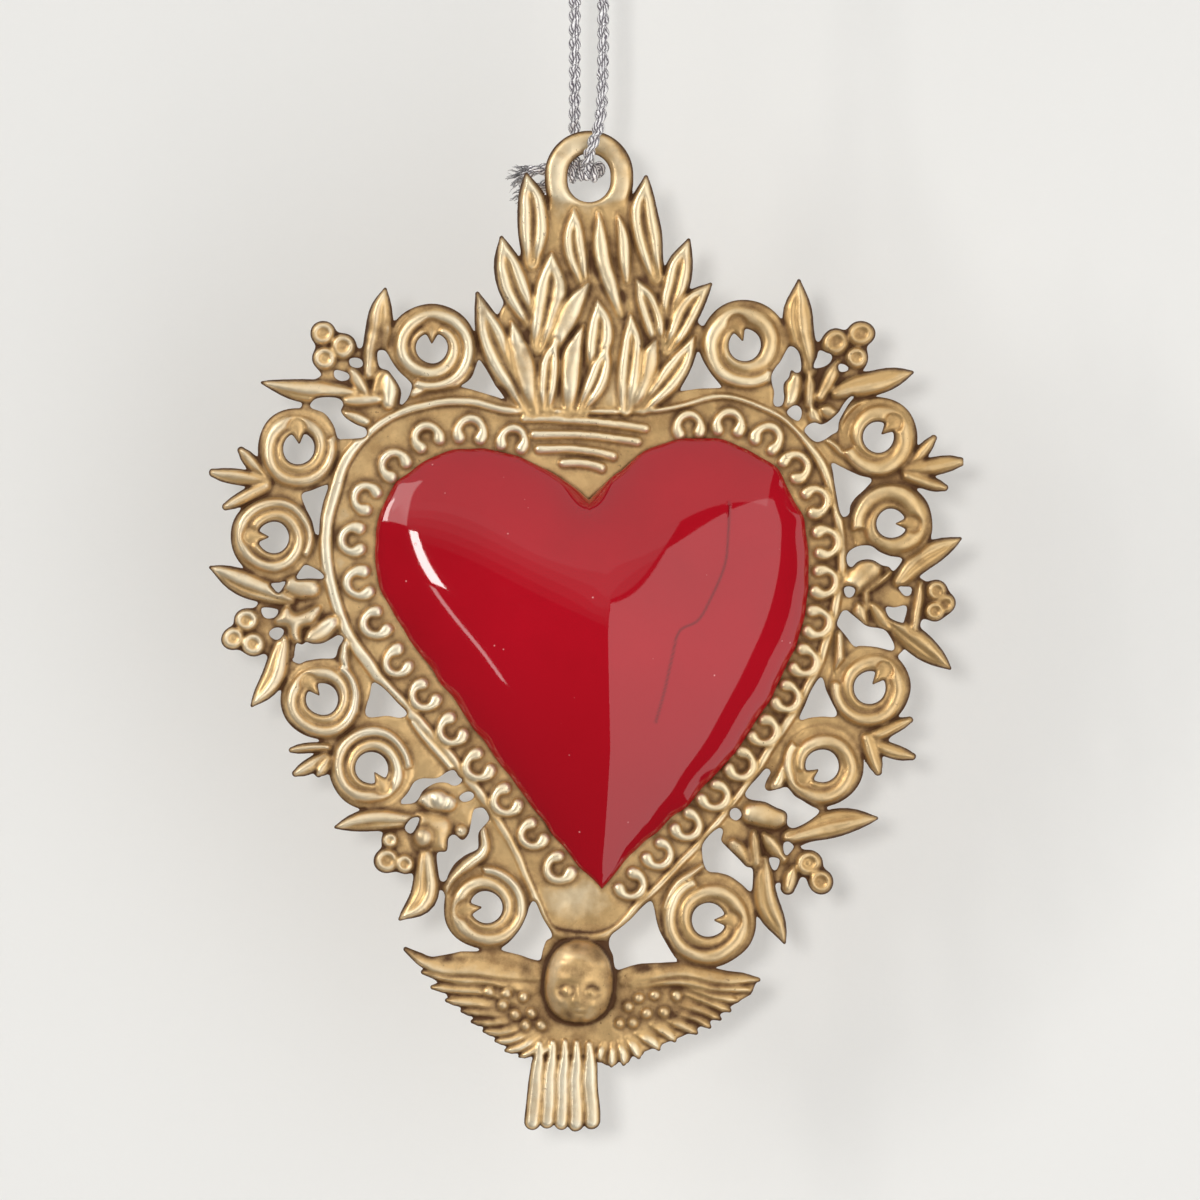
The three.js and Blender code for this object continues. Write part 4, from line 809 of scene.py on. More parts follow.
curlSet = {
    "radius": 1.72, "half": 0.74, "opening": 1.0, "rise": 1.0,
    "runs": [
        {"count": 15, "inward": 1,
         "path": [-10.6, -36.6, -16.7, -35.4, -22.5, -36.2, -27.4, -40.3, -31.5, -45.4, -32.9, -51.7,
                  -29.5, -63.3, -18.5, -78.3, -4.1, -96.6]},
        {"count": 16, "inward": -1,
         "path": [14, -34.8, 20.2, -34.6, 26, -37.2, 29.7, -41.4, 32, -46.2, 33, -54.6, 30, -67.8, 21, -82.2,
                  5.9, -99]},
    ],
}
curlWidths = curlSet["half"] * np.array([1.35, 1.3, 1, 0.92, 0.96, 1, 1, 0.96, 0.92, 1, 1.3, 1.35])
for run in curlSet["runs"]:
    places = smoothPath(pairs(run["path"]), run["count"])
    runLine = smoothPath(pairs(run["path"]), 200)
    for place in places:
        near = np.argmin(np.sum((runLine - place) ** 2, axis=1))
        near = min(max(near, 1), len(runLine) - 2)
        along = runLine[near + 1] - runLine[near - 1]
        facing = np.arctan2(along[0] * run["inward"], -along[1] * run["inward"])
        angles = facing + curlSet["opening"] + np.linspace(0, 1, 16) * (2 * np.pi - 2 * curlSet["opening"])
        hook = place + curlSet["radius"] * np.stack([np.cos(angles), np.sin(angles)], axis=1)
        stroke(hook, curlWidths, tube(curlSet["rise"], 0.15), soft=0.16, joins=False, halo=0.5)

# bars over the notch

barSet = {"half": 0.72, "rise": 0.85,
          "lines": [(-9, -33.6, 7.8, -35), (-7.6, -35.9, 6.7, -36.9), (-6.9, -37.9, 3.4, -39),
                    (-3.6, -40, 1.8, -40.6)]}
for row in barSet["lines"]:
    stroke(bowedPath(row[:2], row[2:], 0.3, 8), [barSet["half"]], tube(barSet["rise"], 0.15),
           soft=0.15, joins=False)

# leaves, blossoms, palmettes and berries of the rim

# each leaf: tip, middle and root, then its width, its crest's place and its vein
leafList = [
    (-28.6, -15.7, -29.4, -21.3, -30.5, -27.4, 3.5, -0.35, 0.3),
    (-45.6, -28.7, -39.8, -29.8, -32.6, -30.1, 2.9, 0, 0.35),
    (-52.8, -54.3, -47.5, -57.1, -41.9, -58.9, 3.2, 0.1, 0.35),
    (-47.2, -73.9, -44.4, -70.3, -42.7, -64.7, 2.9, -0.2, 0.3),
    (-35.6, -90.9, -30.7, -89.9, -24.8, -89.9, 2.9, 0.1, 0.35),
    (-26.2, -103.9, -23.1, -100.4, -22.7, -94.4, 3.4, -0.3, 0.35),
    (29.5, -14.4, 29.3, -20.6, 30.9, -26.9, 3.6, 0.3, 0.3),
    (45.1, -27.3, 39.3, -28.8, 34.6, -30, 3.2, 0.2, 0.2), (51.8, -50.4, 47, -52.9, 43.4, -56.7, 3.1, -0.3, 0.2),
    (50.3, -68.7, 46.3, -65.4, 41.6, -61.6, 3.2, -0.2, 0.25),
    (40.2, -89.5, 34.4, -90.2, 27.9, -92.1, 3.4, 0.2, 0.35),
    (27.2, -106.8, 24.8, -101.1, 24.4, -95.8, 3.2, -0.35, 0.25),
]
for *points, width, lean, vein in leafList:
    stroke(smoothPath(pairs(points), 14), width * 0.56 * pointed, leafForm(1.3, vein * 1.3, lean), halo=0.3)

# stems and folds: places, half widths and height
ridgeList = [
    ([39.1, -31.4, 36.8, -32.6, 36, -34.7, 36.3, -37.2], [0.56, 1.05, 1.12, 0.84], 1.2),
    ([32.9, -36.4, 34, -37, 36.3, -38.9, 39.6, -40.9], [0.42, 0.84, 0.84, 0.42], 0.9),
    ([41.9, -43.5, 39.1, -45.2, 38.1, -47.9, 38.1, -51.4], [0.42, 0.84, 1.05, 0.98], 1.2),
    ([34.9, -63.8, 35.1, -68.2, 35.3, -73.6], [0.56, 1.12, 1.12], 1.2),
    ([30.4, -77.6, 28.1, -81.5, 26.2, -85.1], [0.56, 0.98, 1.12], 1.2),
    ([15.8, -96.3, 12.7, -98.8, 11.2, -101.9, 11.3, -106], [0.42, 0.98, 1.26, 0.84], 1.3),
    ([-28.1, -21, -28, -23.8, -26.7, -26.6, -23.7, -28.8], [0.7, 0.84, 0.7, 0.42], 0.9),
    ([-24.6, -30.2, -22.3, -29.3, -18.6, -28.8, -16.4, -26.6], [0.84, 0.84, 0.84, 0.42], 1),
    ([-34, -65.2, -34.2, -68.6, -32.6, -71.7, -32.3, -74.8], [0.56, 0.98, 0.84, 0.56], 1.2),
    ([-24.8, -76.2, -21.4, -80.4, -19.2, -82.9], [0.42, 0.7, 0.56], 0.8),
    ([-14.7, -91, -14.6, -94.1, -17.5, -96.6, -19.3, -99.7, -19, -103.3], [0.56, 0.98, 1.12, 1.26, 0.84], 1.4),
]
for points, widths, rise in ridgeList:
    stroke(smoothPath(pairs(points), 16), widths, leafForm(rise, 0.0, 0.15, base=0.3), soft=0.5,
           dark=0.75, joins=False)

# buds: short round leaves, broad at the root and blunt at the tip; each has
# its tip, root, width and height
budList = [
    (-33.2, -26.9, -31.2, -30.2, 2.1, 1.3), (-28.4, -26.7, -29.8, -30.1, 2, 1.1),
    (-27.9, -27.7, -28.1, -31.5, 2.7, 1.5), (-34.3, -32.9, -31.2, -34.3, 1.8, 0.9),
    (-34.4, -31.2, -29.5, -31.1, 1.8, 1.2), (-42.6, -56.8, -38.8, -57.5, 3.1, 1.5),
    (-39.3, -64.7, -36.1, -62.4, 2.8, 1.5), (-23.1, -87.1, -19.7, -87.5, 3.1, 1.6),
    (29.1, -27.4, 28, -31.4, 2.7, 1.3), (30.8, -27.6, 30.9, -31.6, 1.8, 1.4),
    (34.9, -26, 32.3, -30.5, 2.1, 1.3), (31.2, -32.2, 31.9, -33.9, 2.1, 1.2), (32.6, -32.2, 34.3, -33, 2, 1.1),
    (40.2, -53.5, 37.2, -56.6, 4.2, 1.6), (42.4, -55.2, 38.5, -58.2, 1.1, 1),
    (38.8, -57.7, 38.8, -60.5, 1.3, 1), (37.7, -59.9, 38.1, -62.4, 2.1, 1.3), (39.6, -59.9, 41.6, -62.7, 2, 1),
    (46.3, -56.7, 45.5, -63.1, 1.5, 1.3), (27.7, -89.5, 22.8, -89, 3.6, 1.5),
    (20.2, -93, 22.5, -96.7, 2.7, 1.2), (23, -91.6, 23.4, -96, 1.8, 1.4), (24.4, -92, 27, -95.2, 2.2, 1),
    (28.7, -96.6, 27.9, -99.4, 2.1, 1.4),
]
for *ends, width, rise in budList:
    stroke(bowedPath(ends[:2], ends[2:], 0.0, 6), width * 0.6 * rounded, leafForm(rise, 0.0, 0.12),
           soft=0.5, dark=0.7)

# petals: a swollen plate, base + rise * (1 - exp(-(inside / 0.8)^1.4)), and balls
# each petal: outline and height; each ball: place, radius and height
petalList = [
    ([-43.9, -62.1, -42.2, -59.8, -40.8, -60.9, -37.7, -60, -38.4, -62.4, -40.2, -63.1, -40.4, -65.2,
      -41.6, -64.6, -42.1, -62.9], 1.5),
    ([-23.7, -89, -19.6, -90, -19.8, -94.3, -21.9, -93.8, -24.2, -93.7, -24.8, -91.1], 0.8),
]
ballList = [(-21, -87, 1.6, 1.5), (-23, -92.2, 1.6, 1.6), (-17.9, -91.4, 1, 1.3)]
for points, rise in petalList:
    window, inside = insideShape(smoothPath(pairs(points), 3 * len(points), closed=True))
    weldGap(window, inside, 0.4)
    inside = inside + 0.35
    puffed = 0.3 + rise * (1 - np.exp(-(np.maximum(inside, 0) / 0.8) ** 1.4))
    lay(window, inside, puffed, soft=0.4, dark=0.8, halo=0.3)

# each blade of a palmette: tip, root and width
palmetteList = [
    (-48.6, -38.2, -45.2, -42.3, 2.1), (-52.5, -41.4, -45.2, -42.6, 2.4), (-50.8, -46.1, -45.2, -43.1, 2.1),
    (-41.6, -80.1, -36.5, -79.8, 1.5), (-41, -83.3, -36.8, -81.2, 2.1), (-37.9, -83.3, -36.3, -81.5, 2),
    (48.3, -36.4, 44.7, -40.6, 2), (51.9, -39.8, 44.7, -40.9, 2.7), (49.7, -43.5, 44.7, -41.7, 2.1),
    (44.8, -75.9, 39.1, -78.4, 2), (45.2, -81.1, 39.1, -79, 2.1), (40.3, -83, 38.8, -78.4, 2.4),
]
for *ends, width in palmetteList:
    stroke(bowedPath(ends[:2], ends[2:], 0.0, 6), width / 2 * rounded, leafForm(1.0, 0.15, 0.1))

berrySet = {
    "rise": 1.25, "crater": 0.85, "hollow": 0.46, "swell": 1.06,
    "places": [
        (-37.2, -21.8, 1.68), (-34.4, -23.7, 1.75), (-37, -25.3, 1.68), (-48, -61.9, 1.68),
        (-49.8, -64.5, 1.61), (-47, -65.4, 1.68), (-28, -92.7, 1.12), (-28.3, -95.5, 1.68), (-25.8, -95.9, 1.4),
        (34.4, -23, 1.96), (37.9, -21.8, 1.82), (37.5, -25.2, 1.54), (48.6, -57.7, 1.47), (49.8, -59.6, 1.4),
        (48.3, -60.6, 1.47), (30.8, -96, 1.82), (32.5, -98.6, 1.68),
    ],
}


def knob(centre, radius, form, weld=0.4, joins=True, dark=1.0, soft=0.25):
    # a round form: its height is form(r / radius)
    window = windowAround(np.array([centre]), radius + 1.2)
    distance = np.hypot(drawX[window] - centre[0], drawZ[window] - centre[1])
    if joins:
        weldGap(window, radius - distance, weld)
    lay(window, radius - distance, form(np.clip(distance / radius, 0, 1)), dark=dark, soft=soft)


def berryForm(r):
    # a ball rise * sqrt(1 - r^2) with a crater sunk in its top and a seed in it
    crater = berrySet["crater"] * np.exp(-(r / berrySet["hollow"]) ** 4)
    return 0.2 + berrySet["rise"] * roundOver(r, 2) - crater + 0.3 * hill(r, 0.17)


for x, z, radius, rise in ballList:
    knob((x, z), radius, lambda r: 0.3 + rise * (1 - r ** 2) ** 0.7, weld=0.5, soft=0.5)
for x, z, radius in berrySet["places"]:
    knob((x, z), radius * berrySet["swell"], berryForm, weld=1.1)

# scrolls

scrollSet = {
    "rise": 1.2, "first": 1.0, "groove": 0.07,
    # tip: where the curl's end points, start and sense: where the ridge begins
    # and its way round; lead: share of the width that it moves inward each
    # turn; bar: its half width; dark: the strength of its groove's line, most
    # towards face, and of the painted shade on its outer winding, most away from face
    "columns": ("x", "z", "radius", "hole", "tip", "start", "sense", "lead", "bar", "dark", "face"),
    "rows": [
        (-22, -23.8, 6.3, 2.2, 90, 245, 1, 0.5, 0.25, 0.9, 150),
        (-40.7, -37.9, 5.7, 2.25, 95, 20, -1, 0.54, 0.29, 0.8, 100),
        (-44.2, -50.3, 5.9, 2.15, 180, -30, 1, 0.46, 0.24, 0.8, 250),
        (-37.4, -72.9, 5.8, 2.25, 130, 60, -1, 0.5, 0.27, 0.8, 60),
        (-30.4, -82.5, 6, 2.3, 300, 0, 1, 0.5, 0.25, 0.9, 40),
        (-14.4, -102.1, 6, 2.3, 185, 95, -1, 0.52, 0.28, 0.8, 120),
        (21.8, -23.4, 6.3, 2.25, 110, -45, -1, 0.6, 0.33, 0.5, 230),
        (40.5, -36.3, 5.6, 2.15, 45, 200, 1, 0.75, 0.42, 0.35, 270),
        (42.3, -48.3, 5.8, 2.1, 0, 190, -1, 0.7, 0.4, 0.4, 110),
        (39.3, -71.3, 5.7, 2.25, 50, 170, 1, 0.62, 0.34, 0.5, 180),
        (32.6, -82.3, 5.7, 2.3, 215, 140, 1, 0.6, 0.33, 0.5, 200),
        (16.8, -103.9, 6.6, 2.4, 0, 110, 1, 0.5, 0.27, 0.8, 270),
    ],
}


def pressScroll(spec):
    # a disc with a curl hole and a ridge wound over it: the ridge's place is
    # q = first - lead * turns, where q is 0 at the hole and 1 at the rim, and
    # each winding is a broad round bar; the curl's pointed tip reaches into
    # the hole, which makes it heart-shaped
    centre = np.array([spec["x"], spec["z"]])
    window = windowAround(centre[None], spec["radius"] + 1.2)
    dx, dz = drawX[window] - centre[0], drawZ[window] - centre[1]
    distance = np.hypot(dx, dz)
    inside = spec["radius"] - distance
    weldGap(window, inside, 0.6)
    q = (distance - spec["hole"]) / (spec["radius"] - spec["hole"])
    around = np.arctan2(dz, dx)
    turns = (spec["sense"] * (np.degrees(around) - spec["start"]) / 360) % 1
    height = np.zeros(q.shape)
    groove = np.zeros(q.shape)
    for winding in range(4):
        place = scrollSet["first"] - spec["bar"] * 0.5 - spec["lead"] * (turns + winding)
        u = (q - place) / spec["bar"]
        rise = scrollSet["rise"] * (1 - 0.2 * (turns + winding))
        height = np.maximum(height, rise * np.maximum(1 - u * u, 0) ** 0.6)
        groove = np.maximum(groove, hill(q - place + spec["lead"] / 2, scrollSet["groove"]))
    height = 0.3 + height * smoothStep(0, 0.6, inside)
    lay(window, inside, height, soft=0.4, dark=0.7)
    within = smoothStep(0.1, 0.5, inside)
    # painted shade: the groove lines are darker towards face, and the outer winding is shaded on the side away
    # from face
    faced = 0.55 + 0.45 * np.cos(around - np.radians(spec["face"]))
    shade = np.maximum(groove, 0.45 * (1 - faced) * smoothStep(0.5, 1.0, q))
    darken(window, spec["dark"] * (0.35 + 0.65 * faced) * groove * within)
    darken(window, 0.4 * spec["dark"] * shade * within)
    cutOut(window, spec["hole"] - distance)
    share = np.linspace(0, 1, 6)
    angle = np.radians(spec["tip"])
    reach = (spec["hole"] + 0.8) * (1 - share) + 0.34 * spec["hole"] * share
    stroke(centre + reach[:, None] * np.array([np.cos(angle), np.sin(angle)]), [1.4, 1.1, 0.72, 0.42, 0.14],
           leafForm(0.45, base=0.35), weld=0.3, dark=0.5)


for row in scrollSet["rows"]:
    pressScroll(dict(zip(scrollSet["columns"], row)))
for opening in rimSet["openings"]:
    cutOut(*insideShape(smoothPath(pairs(opening), 2 * len(opening), closed=True)))
print("rim pressed")

# flame

flameSet = {
    "trunk": [
        -5.4, -1.4, 5.4, -1.4, 9.6, -11.5, 12.6, -16.6, 15.2, -23.6, 12.2, -30, 8.8, -32.6, -10.4, -32.6,
        -13.2, -29, -15, -23, -11.6, -17, -9.6, -11, -5.6, -4.4,
    ],
    # from, over and to, then the width and the number of ribs
    "tongues": [
        (-8.8, 0.5, -7.7, -4.8, -7.9, -11.9, 4.6, 2), (7.9, -0.1, 7.7, -5.6, 9.5, -13.9, 4.4, 2),
        (4, -5, 4.8, -8.8, 5.3, -14.3, 2.4, 1), (-2, -4.4, -2.1, -8.8, -0.9, -14.3, 3.5, 2),
        (1.2, -4.5, 1.8, -11.1, 4.4, -19, 2.8, 1), (-12.2, -8.4, -11, -13.5, -7.7, -20.6, 4.6, 2),
        (13.8, -8.8, 12.5, -13.5, 10.6, -21, 3.9, 2), (17, -14.9, 14, -18.2, 10.9, -24.1, 3.8, 2),
        (-5.1, -10.5, -5.3, -16.3, -7.2, -23.7, 5, 2), (6.7, -14.1, 8.3, -17.8, 9.7, -23.3, 3.6, 2),
        (0.1, -14.5, -2.3, -18.2, -5.1, -24.5, 3.3, 1), (-15.5, -16.3, -13.1, -23.3, -8.4, -32.4, 4.6, 2),
        (-10.9, -19.8, -9.6, -25.3, -7.4, -32.4, 3.6, 1), (1.2, -17.2, 1.6, -21.4, 0.8, -26.9, 4.3, 2),
        (-0.8, -20.6, -2.5, -25.7, -2.9, -32.4, 3.4, 1), (-4.5, -22.6, -5.7, -26.9, -6, -32.4, 3.3, 2),
        (14.7, -22.1, 12.3, -26.5, 7.5, -32.2, 3.9, 2), (9.5, -22.4, 7.7, -27.3, 5.2, -32.4, 3.9, 1),
        (5.8, -18.9, 6, -24.5, 5, -32.4, 3.8, 2), (2.7, -23.7, 1.2, -28.1, -0.9, -32.2, 3.6, 2),
    ],
    "rise": 1.3, "trunkLevel": 0.45,
}
flatPatch(flameSet["trunk"], flameSet["trunkLevel"])


def valleyMark(u, along):
    # the dark line between two bars, from below the tip to above the root
    return 0.8 * hill(u, 0.15) * smoothStep(0.16, 0.34, along) * smoothStep(0.95, 0.75, along)


for *points, width, ribs in flameSet["tongues"]:
    stroke(smoothPath(pairs(points), 18), width / 2 * pointed, tongueForm(flameSet["rise"], ribs),
           soft=0.5, dark=0.8, sink=0.15, mark=valleyMark if ribs == 2 else None)

# winged figure

wingSet = {
    "plates": [
        [-6.4, -116, 3.6, -116, 2, -123, -7.4, -123],
        [-2, -109, -6.7, -109.9, -11.8, -108.6, -18, -108.4, -22.5, -109.2, -25.6, -107.9, -23.4, -110.4,
         -21, -112.8, -19, -115.4, -16.6, -117.2, -14.4, -119.2, -12.4, -120.8, -10.4, -122.2, -7.6, -122.9,
         -4, -121],
        [-2, -109, 4.2, -111, 7.4, -110.1, 12.8, -110.3, 18.1, -111.2, 23.7, -112.1, 22.6, -114.4, 20, -115.8,
         17.2, -117.8, 14, -119.6, 11.2, -120.8, 8.2, -122.1, 4.6, -123.6, 2.6, -124.2, 1, -123.4, -2, -120],
    ],
    # feathers from the lowest up, half width first, then points from the tip
    "feathers": [
        (0.75, -7.9, -123, -6.6, -122, -5.8, -121), (0.85, -9.8, -122.7, -8.3, -122, -6.6, -120.7),
        (0.9, -11.7, -121.8, -9.7, -121.2, -7.3, -120.1), (0.9, -13.1, -120.5, -11, -120.1, -8.3, -119.4),
        (0.95, -14.7, -119.3, -12.4, -119, -9.4, -118.5), (0.95, -16.4, -118.1, -14, -117.8, -10.5, -117.5),
        (1, -17.8, -116.6, -15, -116.5, -11.6, -116.5), (1, -19.8, -115.1, -16.6, -115.1, -12.6, -115.4),
        (1.1, -21.9, -113.3, -18.2, -113.2, -13.9, -113.5, -10.2, -115.1),
        (1.25, -23.2, -111.2, -18.8, -111.6, -13.4, -111.8, -8.1, -113.6),
        (1.15, -25.6, -108, -21.6, -110.3, -15.6, -110.5, -7.3, -111.8),
        (0.75, 1.5, -123.6, 1.9, -122.5, 2.1, -121.4), (0.85, 3.2, -124.2, 3.6, -122.7, 3.5, -121.4),
        (0.9, 4.9, -124, 5.1, -122.5, 4.5, -121), (0.95, 6.9, -123.1, 6.6, -121.7, 5.6, -120.4),
        (0.95, 9.7, -121.9, 9, -120.7, 6.9, -119.7), (0.95, 12, -120.6, 11.2, -119.5, 9, -118.6),
        (1, 15, -119.6, 13.6, -118.4, 10.6, -117.5), (1, 16.9, -118.8, 15.2, -117.2, 12, -116.5),
        (1, 18.4, -117.6, 16.3, -116.1, 12.5, -115.3), (1.05, 19.7, -116.4, 17.3, -114.8, 13.3, -113.9),
        (1.1, 20.7, -115.1, 17.9, -113.8, 12.8, -112.6),
        (1.2, 22.5, -113.7, 18.7, -112.8, 12.2, -112, 6.4, -112.5),
        (1.1, 23.7, -112.3, 19.2, -111.9, 12.2, -110.9, 4.9, -112.2),
    ],
    "level": 0.3, "rise": 0.95, "bead": 0.9, "beadRise": 0.85,
    "beads": [
        -13.9, -113.8, -11.5, -114.1, -9.1, -114.7, -12, -115.8, -10.4, -117.2, -8, -117, -9, -118.7,
        -6.7, -118.7, 7.1, -114.7, 9.2, -114.4, 12.2, -114.5, 5.6, -115.9, 8.1, -117, 10.4, -116.8, 4.3, -118.3,
        6.2, -118.2,
    ],
    "flutes": [
        (-7.1, -121.3, -8, -132), (-5.3, -121.1, -5.95, -132.1), (-3.5, -121, -3.85, -132.2),
        (-1.7, -121.1, -1.75, -132.1), (0.1, -121.3, 0.35, -131.9),
    ],
    "fluteWidths": [0.5, 1.02, 1.12, 1.14, 1.14],
}
for outline in wingSet["plates"]:
    flatPatch(outline, wingSet["level"])


def feather(half, points):
    # a slat: its height grows from the upper side, v = -1, to the lower one,
    # v = 1, by rise * (0.15 + 0.85 (v + 1) / 2) * sqrt(1 - max(v, 0)^6), and a
    # sunk step lies under the lower side only, painted dark as the shadow that
    # the slat casts on the one below; it turns over with the wing
    path = smoothPath(points, 14)
    lower = np.sign(points[0, 0])
    window, distance, along, side = nearestOn(path, half + 1.2)
    widths = half * np.interp(along, [0, 0.12, 0.35, 0.7, 1], [0.3, 0.75, 1.0, 1.0, 0.7])
    inside = widths - distance
    weldGap(window, inside, 0.25)
    v = np.clip(distance / widths, 0, 1) * side * lower
    fade = 1 - 0.7 * smoothStep(0.6, 1, along)
    section = (0.15 + 0.85 * (v + 1) / 2) * roundOver(np.maximum(v, 0), 6)
    height = wingSet["level"] + wingSet["rise"] * section * fade
    cover = smoothStep(0, 0.25, inside) * smoothStep(-1, -0.35, v)
    under = hill(inside + 0.1, 0.2) * (side * lower > 0) * fade
    relief[window] = relief[window] * (1 - cover) + height * cover - 0.15 * under * (1 - cover)
    # painted shadow: a dark line under the lower side only
    line[window] = np.maximum(line[window] * (1 - cover), 0.85 * under)


for half, *points in wingSet["feathers"]:
    feather(half, pairs(points))
for place in pairs(wingSet["beads"]):
    knob(place, wingSet["bead"], lambda r: wingSet["level"] + wingSet["beadRise"] * roundOver(r, 2),
         joins=False)
for row in wingSet["flutes"]:
    stroke(bowedPath(row[:2], row[2:], 0.1, 8), wingSet["fluteWidths"], tube(0.75, wingSet["level"], 3.6),
           weld=0.15, soft=0.12, dark=0.45, sink=0.05)

# head: an egg with a calm, doll-like face built from soft mounds

headSet = {
    "centre": (-1.4, -112.4), "half": (4.95, 6.0), "tilt": -4.0, "level": 0.2, "rise": 4.1, "power": 2.3,
    "eyes": ((-1.6, -1.3), (2.0, -1.3)),
    # place, half widths and height
    "mounds": [
        (-1.6, -1.1, 1.3, 1.1, -0.55), (2, -1.1, 1.3, 1.1, -0.55), (-1.6, -1.35, 0.66, 0.62, 0.75),
        (2, -1.35, 0.66, 0.62, 0.75), (0.2, -2, 0.5, 1.1, 0.6), (0.2, -2.9, 0.8, 0.4, 0.35),
        (-2.3, -3.1, 1.2, 1, 0.4), (2.7, -3.1, 1.2, 1, 0.4), (0.2, -4, 1, 0.3, 0.3),
        (0.2, -4.4, 0.9, 0.16, -0.4), (0.2, -4.9, 1.1, 0.5, 0.3), (0, 3.6, 2.6, 0.5, 0.2),
        (-2.2, 2.6, 1.2, 0.5, 0.2), (2.4, 2.9, 1.2, 0.5, 0.2),
    ],
}


def pressHead(settings):
    # height = rise * sqrt(1 - r^2), with r^p = |x / wide|^p + |z / tall|^p, plus
    # a gaussian mound for each feature and a dark ring round each eye
    centre = np.array(settings["centre"])
    window = windowAround(centre[None], 8)
    tilt = np.radians(settings["tilt"])
    dx, dz = gridX[window] - centre[0], gridZ[window] - centre[1]
    across = dx * np.cos(tilt) + dz * np.sin(tilt)
    up = -dx * np.sin(tilt) + dz * np.cos(tilt)
    wide = settings["half"][0] * (1 - 0.008 * up)
    power = settings["power"]
    r = (np.abs(across / wide) ** power + np.abs(up / settings["half"][1]) ** power) ** (1 / power)
    inside = (1 - r) * settings["half"][0]
    height = settings["level"] + settings["rise"] * roundOver(r, 2)
    for x, z, wide, tall, rise in settings["mounds"]:
        height = height + rise * hill(across - x, wide) * hill(up - z, tall)
    weldGap(window, inside, 0.4)
    lay(window, inside, height, soft=0.35)
    for x, z in settings["eyes"]:
        ring = np.hypot(across - x, (up - z) * 1.1) - 0.95
        darken(window, 0.75 * hill(ring, 0.25) * (np.abs(up - z) > 0.25))


pressHead(headSet)

# eye

eyeSet = {"hole": 3.0, "stretch": 0.4, "width": 3.2, "base": 0.1, "rise": 0.9, "power": 2.8,
          "fadeFrom": -4.5, "fadeTo": -2.5, "endsAt": -3.5}


def pressEye(settings):
    # a ring of section base + rise * (1 - |u|^power)^0.5 across its width, which
    # fades into the flame below
    window = windowAround(np.array([[0.0, 0.0]]), 8)
    x, z = gridX[window], gridZ[window]
    reach = np.hypot(x, np.maximum(np.abs(z) - settings["stretch"], 0))
    inside = settings["hole"] + settings["width"] - reach
    shown = smoothStep(settings["fadeFrom"], settings["fadeTo"], z)
    half = settings["width"] / 2
    u = np.clip((reach - settings["hole"] - half) / half, -1, 1)
    weldGap(window, np.where(z > settings["endsAt"], inside, -9), 0.5)
    ring = tube(settings["rise"], settings["base"], settings["power"])(u, 0)
    cover = smoothStep(0, 0.3, inside) * shown
    relief[window] = relief[window] * (1 - cover) + ring * cover
    line[window] = np.maximum(line[window] * (1 - cover), 0.7 * hill(inside, 0.2) * shown)
    cutOut(window, settings["hole"] - reach)


pressEye(eyeSet)
print("flame, figure and eye pressed")

# heart dome and enamel

heartSet = {
    "left": [0, -44.9, -2.9, -42.7, -8.3, -39.6, -15.4, -37.8, -22.3, -39.2, -28.1, -44.4, -30, -51.8, -28, -60,
             -17.2, -75.5, -4.1, -93.1, 1.8, -99.5],
    "right": [1.8, -99.5, 7.1, -93.6, 15.1, -86.4, 22.9, -77, 29.3, -64.5, 30.8, -54.9, 29.5, -46.5,
              24.6, -39.3, 15.8, -36.3, 8.5, -37.9, 2.9, -42.2, 0, -44.9],
    "centre": (0.6, -61.0), "deep": 8.15, "keelHigh": 1.05, "keelWide": 6.0,
    "skinStep": 0.4, "sweeps": 420, "relax": 1.95, "power": 0.8, "rim": 0.95, "wobble": 0.09,
    "swaySeed": 5, "clearance": 0.3, "coat": 0.5, "steps": 380, "rings": 118, "cut": 0.985,
}


def heartEdge(settings):
    # both halves of the outline, moved in and out from the centre by noise of
    # about 30 waves in the whole round
    left = smoothPath(pairs(settings["left"]), settings["steps"] // 2 + 1)
    right = smoothPath(pairs(settings["right"]), settings["steps"] // 2 + 1)
    ring = np.vstack([left[:-1], right[:-1]])
    count = len(ring)
    turn = np.fft.rfftfreq(count, 1 / count)
    noise = np.random.default_rng(settings["swaySeed"]).normal(size=count)
    sway = np.fft.irfft(np.fft.rfft(noise) * hill(turn - 30, 22), count)
    sway *= settings["wobble"] / sway.std()
    out = ring - settings["centre"]
    return ring + out / np.linalg.norm(out, axis=1)[:, None] * sway[:, None]


heartRing = heartEdge(heartSet)
heartCentre = np.array(heartSet["centre"])


def stretchedSkin(settings):
    # the height of a skin blown up over the outline: each place is the mean of
    # its four neighbours plus a constant, solved by over-relaxed sweeps over
    # the two colours of a chessboard
    size = settings["skinStep"]
    x = np.arange(-32.5, 33.5, size)
    z = np.arange(-101.5, -34.0, size)
    gx, gz = np.meshgrid(x, z)
    within = withinRing(heartRing, gx, gz)
    height = np.zeros(gx.shape)
    chess = np.indices(gx.shape).sum(axis=0) % 2
    for sweep in range(settings["sweeps"]):
        for colour in (0, 1):
            mean = np.zeros(gx.shape)
            mean[1:-1, 1:-1] = (height[:-2, 1:-1] + height[2:, 1:-1]
                                + height[1:-1, :-2] + height[1:-1, 2:]) / 4
            change = (mean + 1 - height) * settings["relax"]
            height = np.where(within & (chess == colour), height + change, height)
    return x[0], z[0], (height / height.max()) ** settings["power"]


skinX, skinZ, skin = stretchedSkin(heartSet)


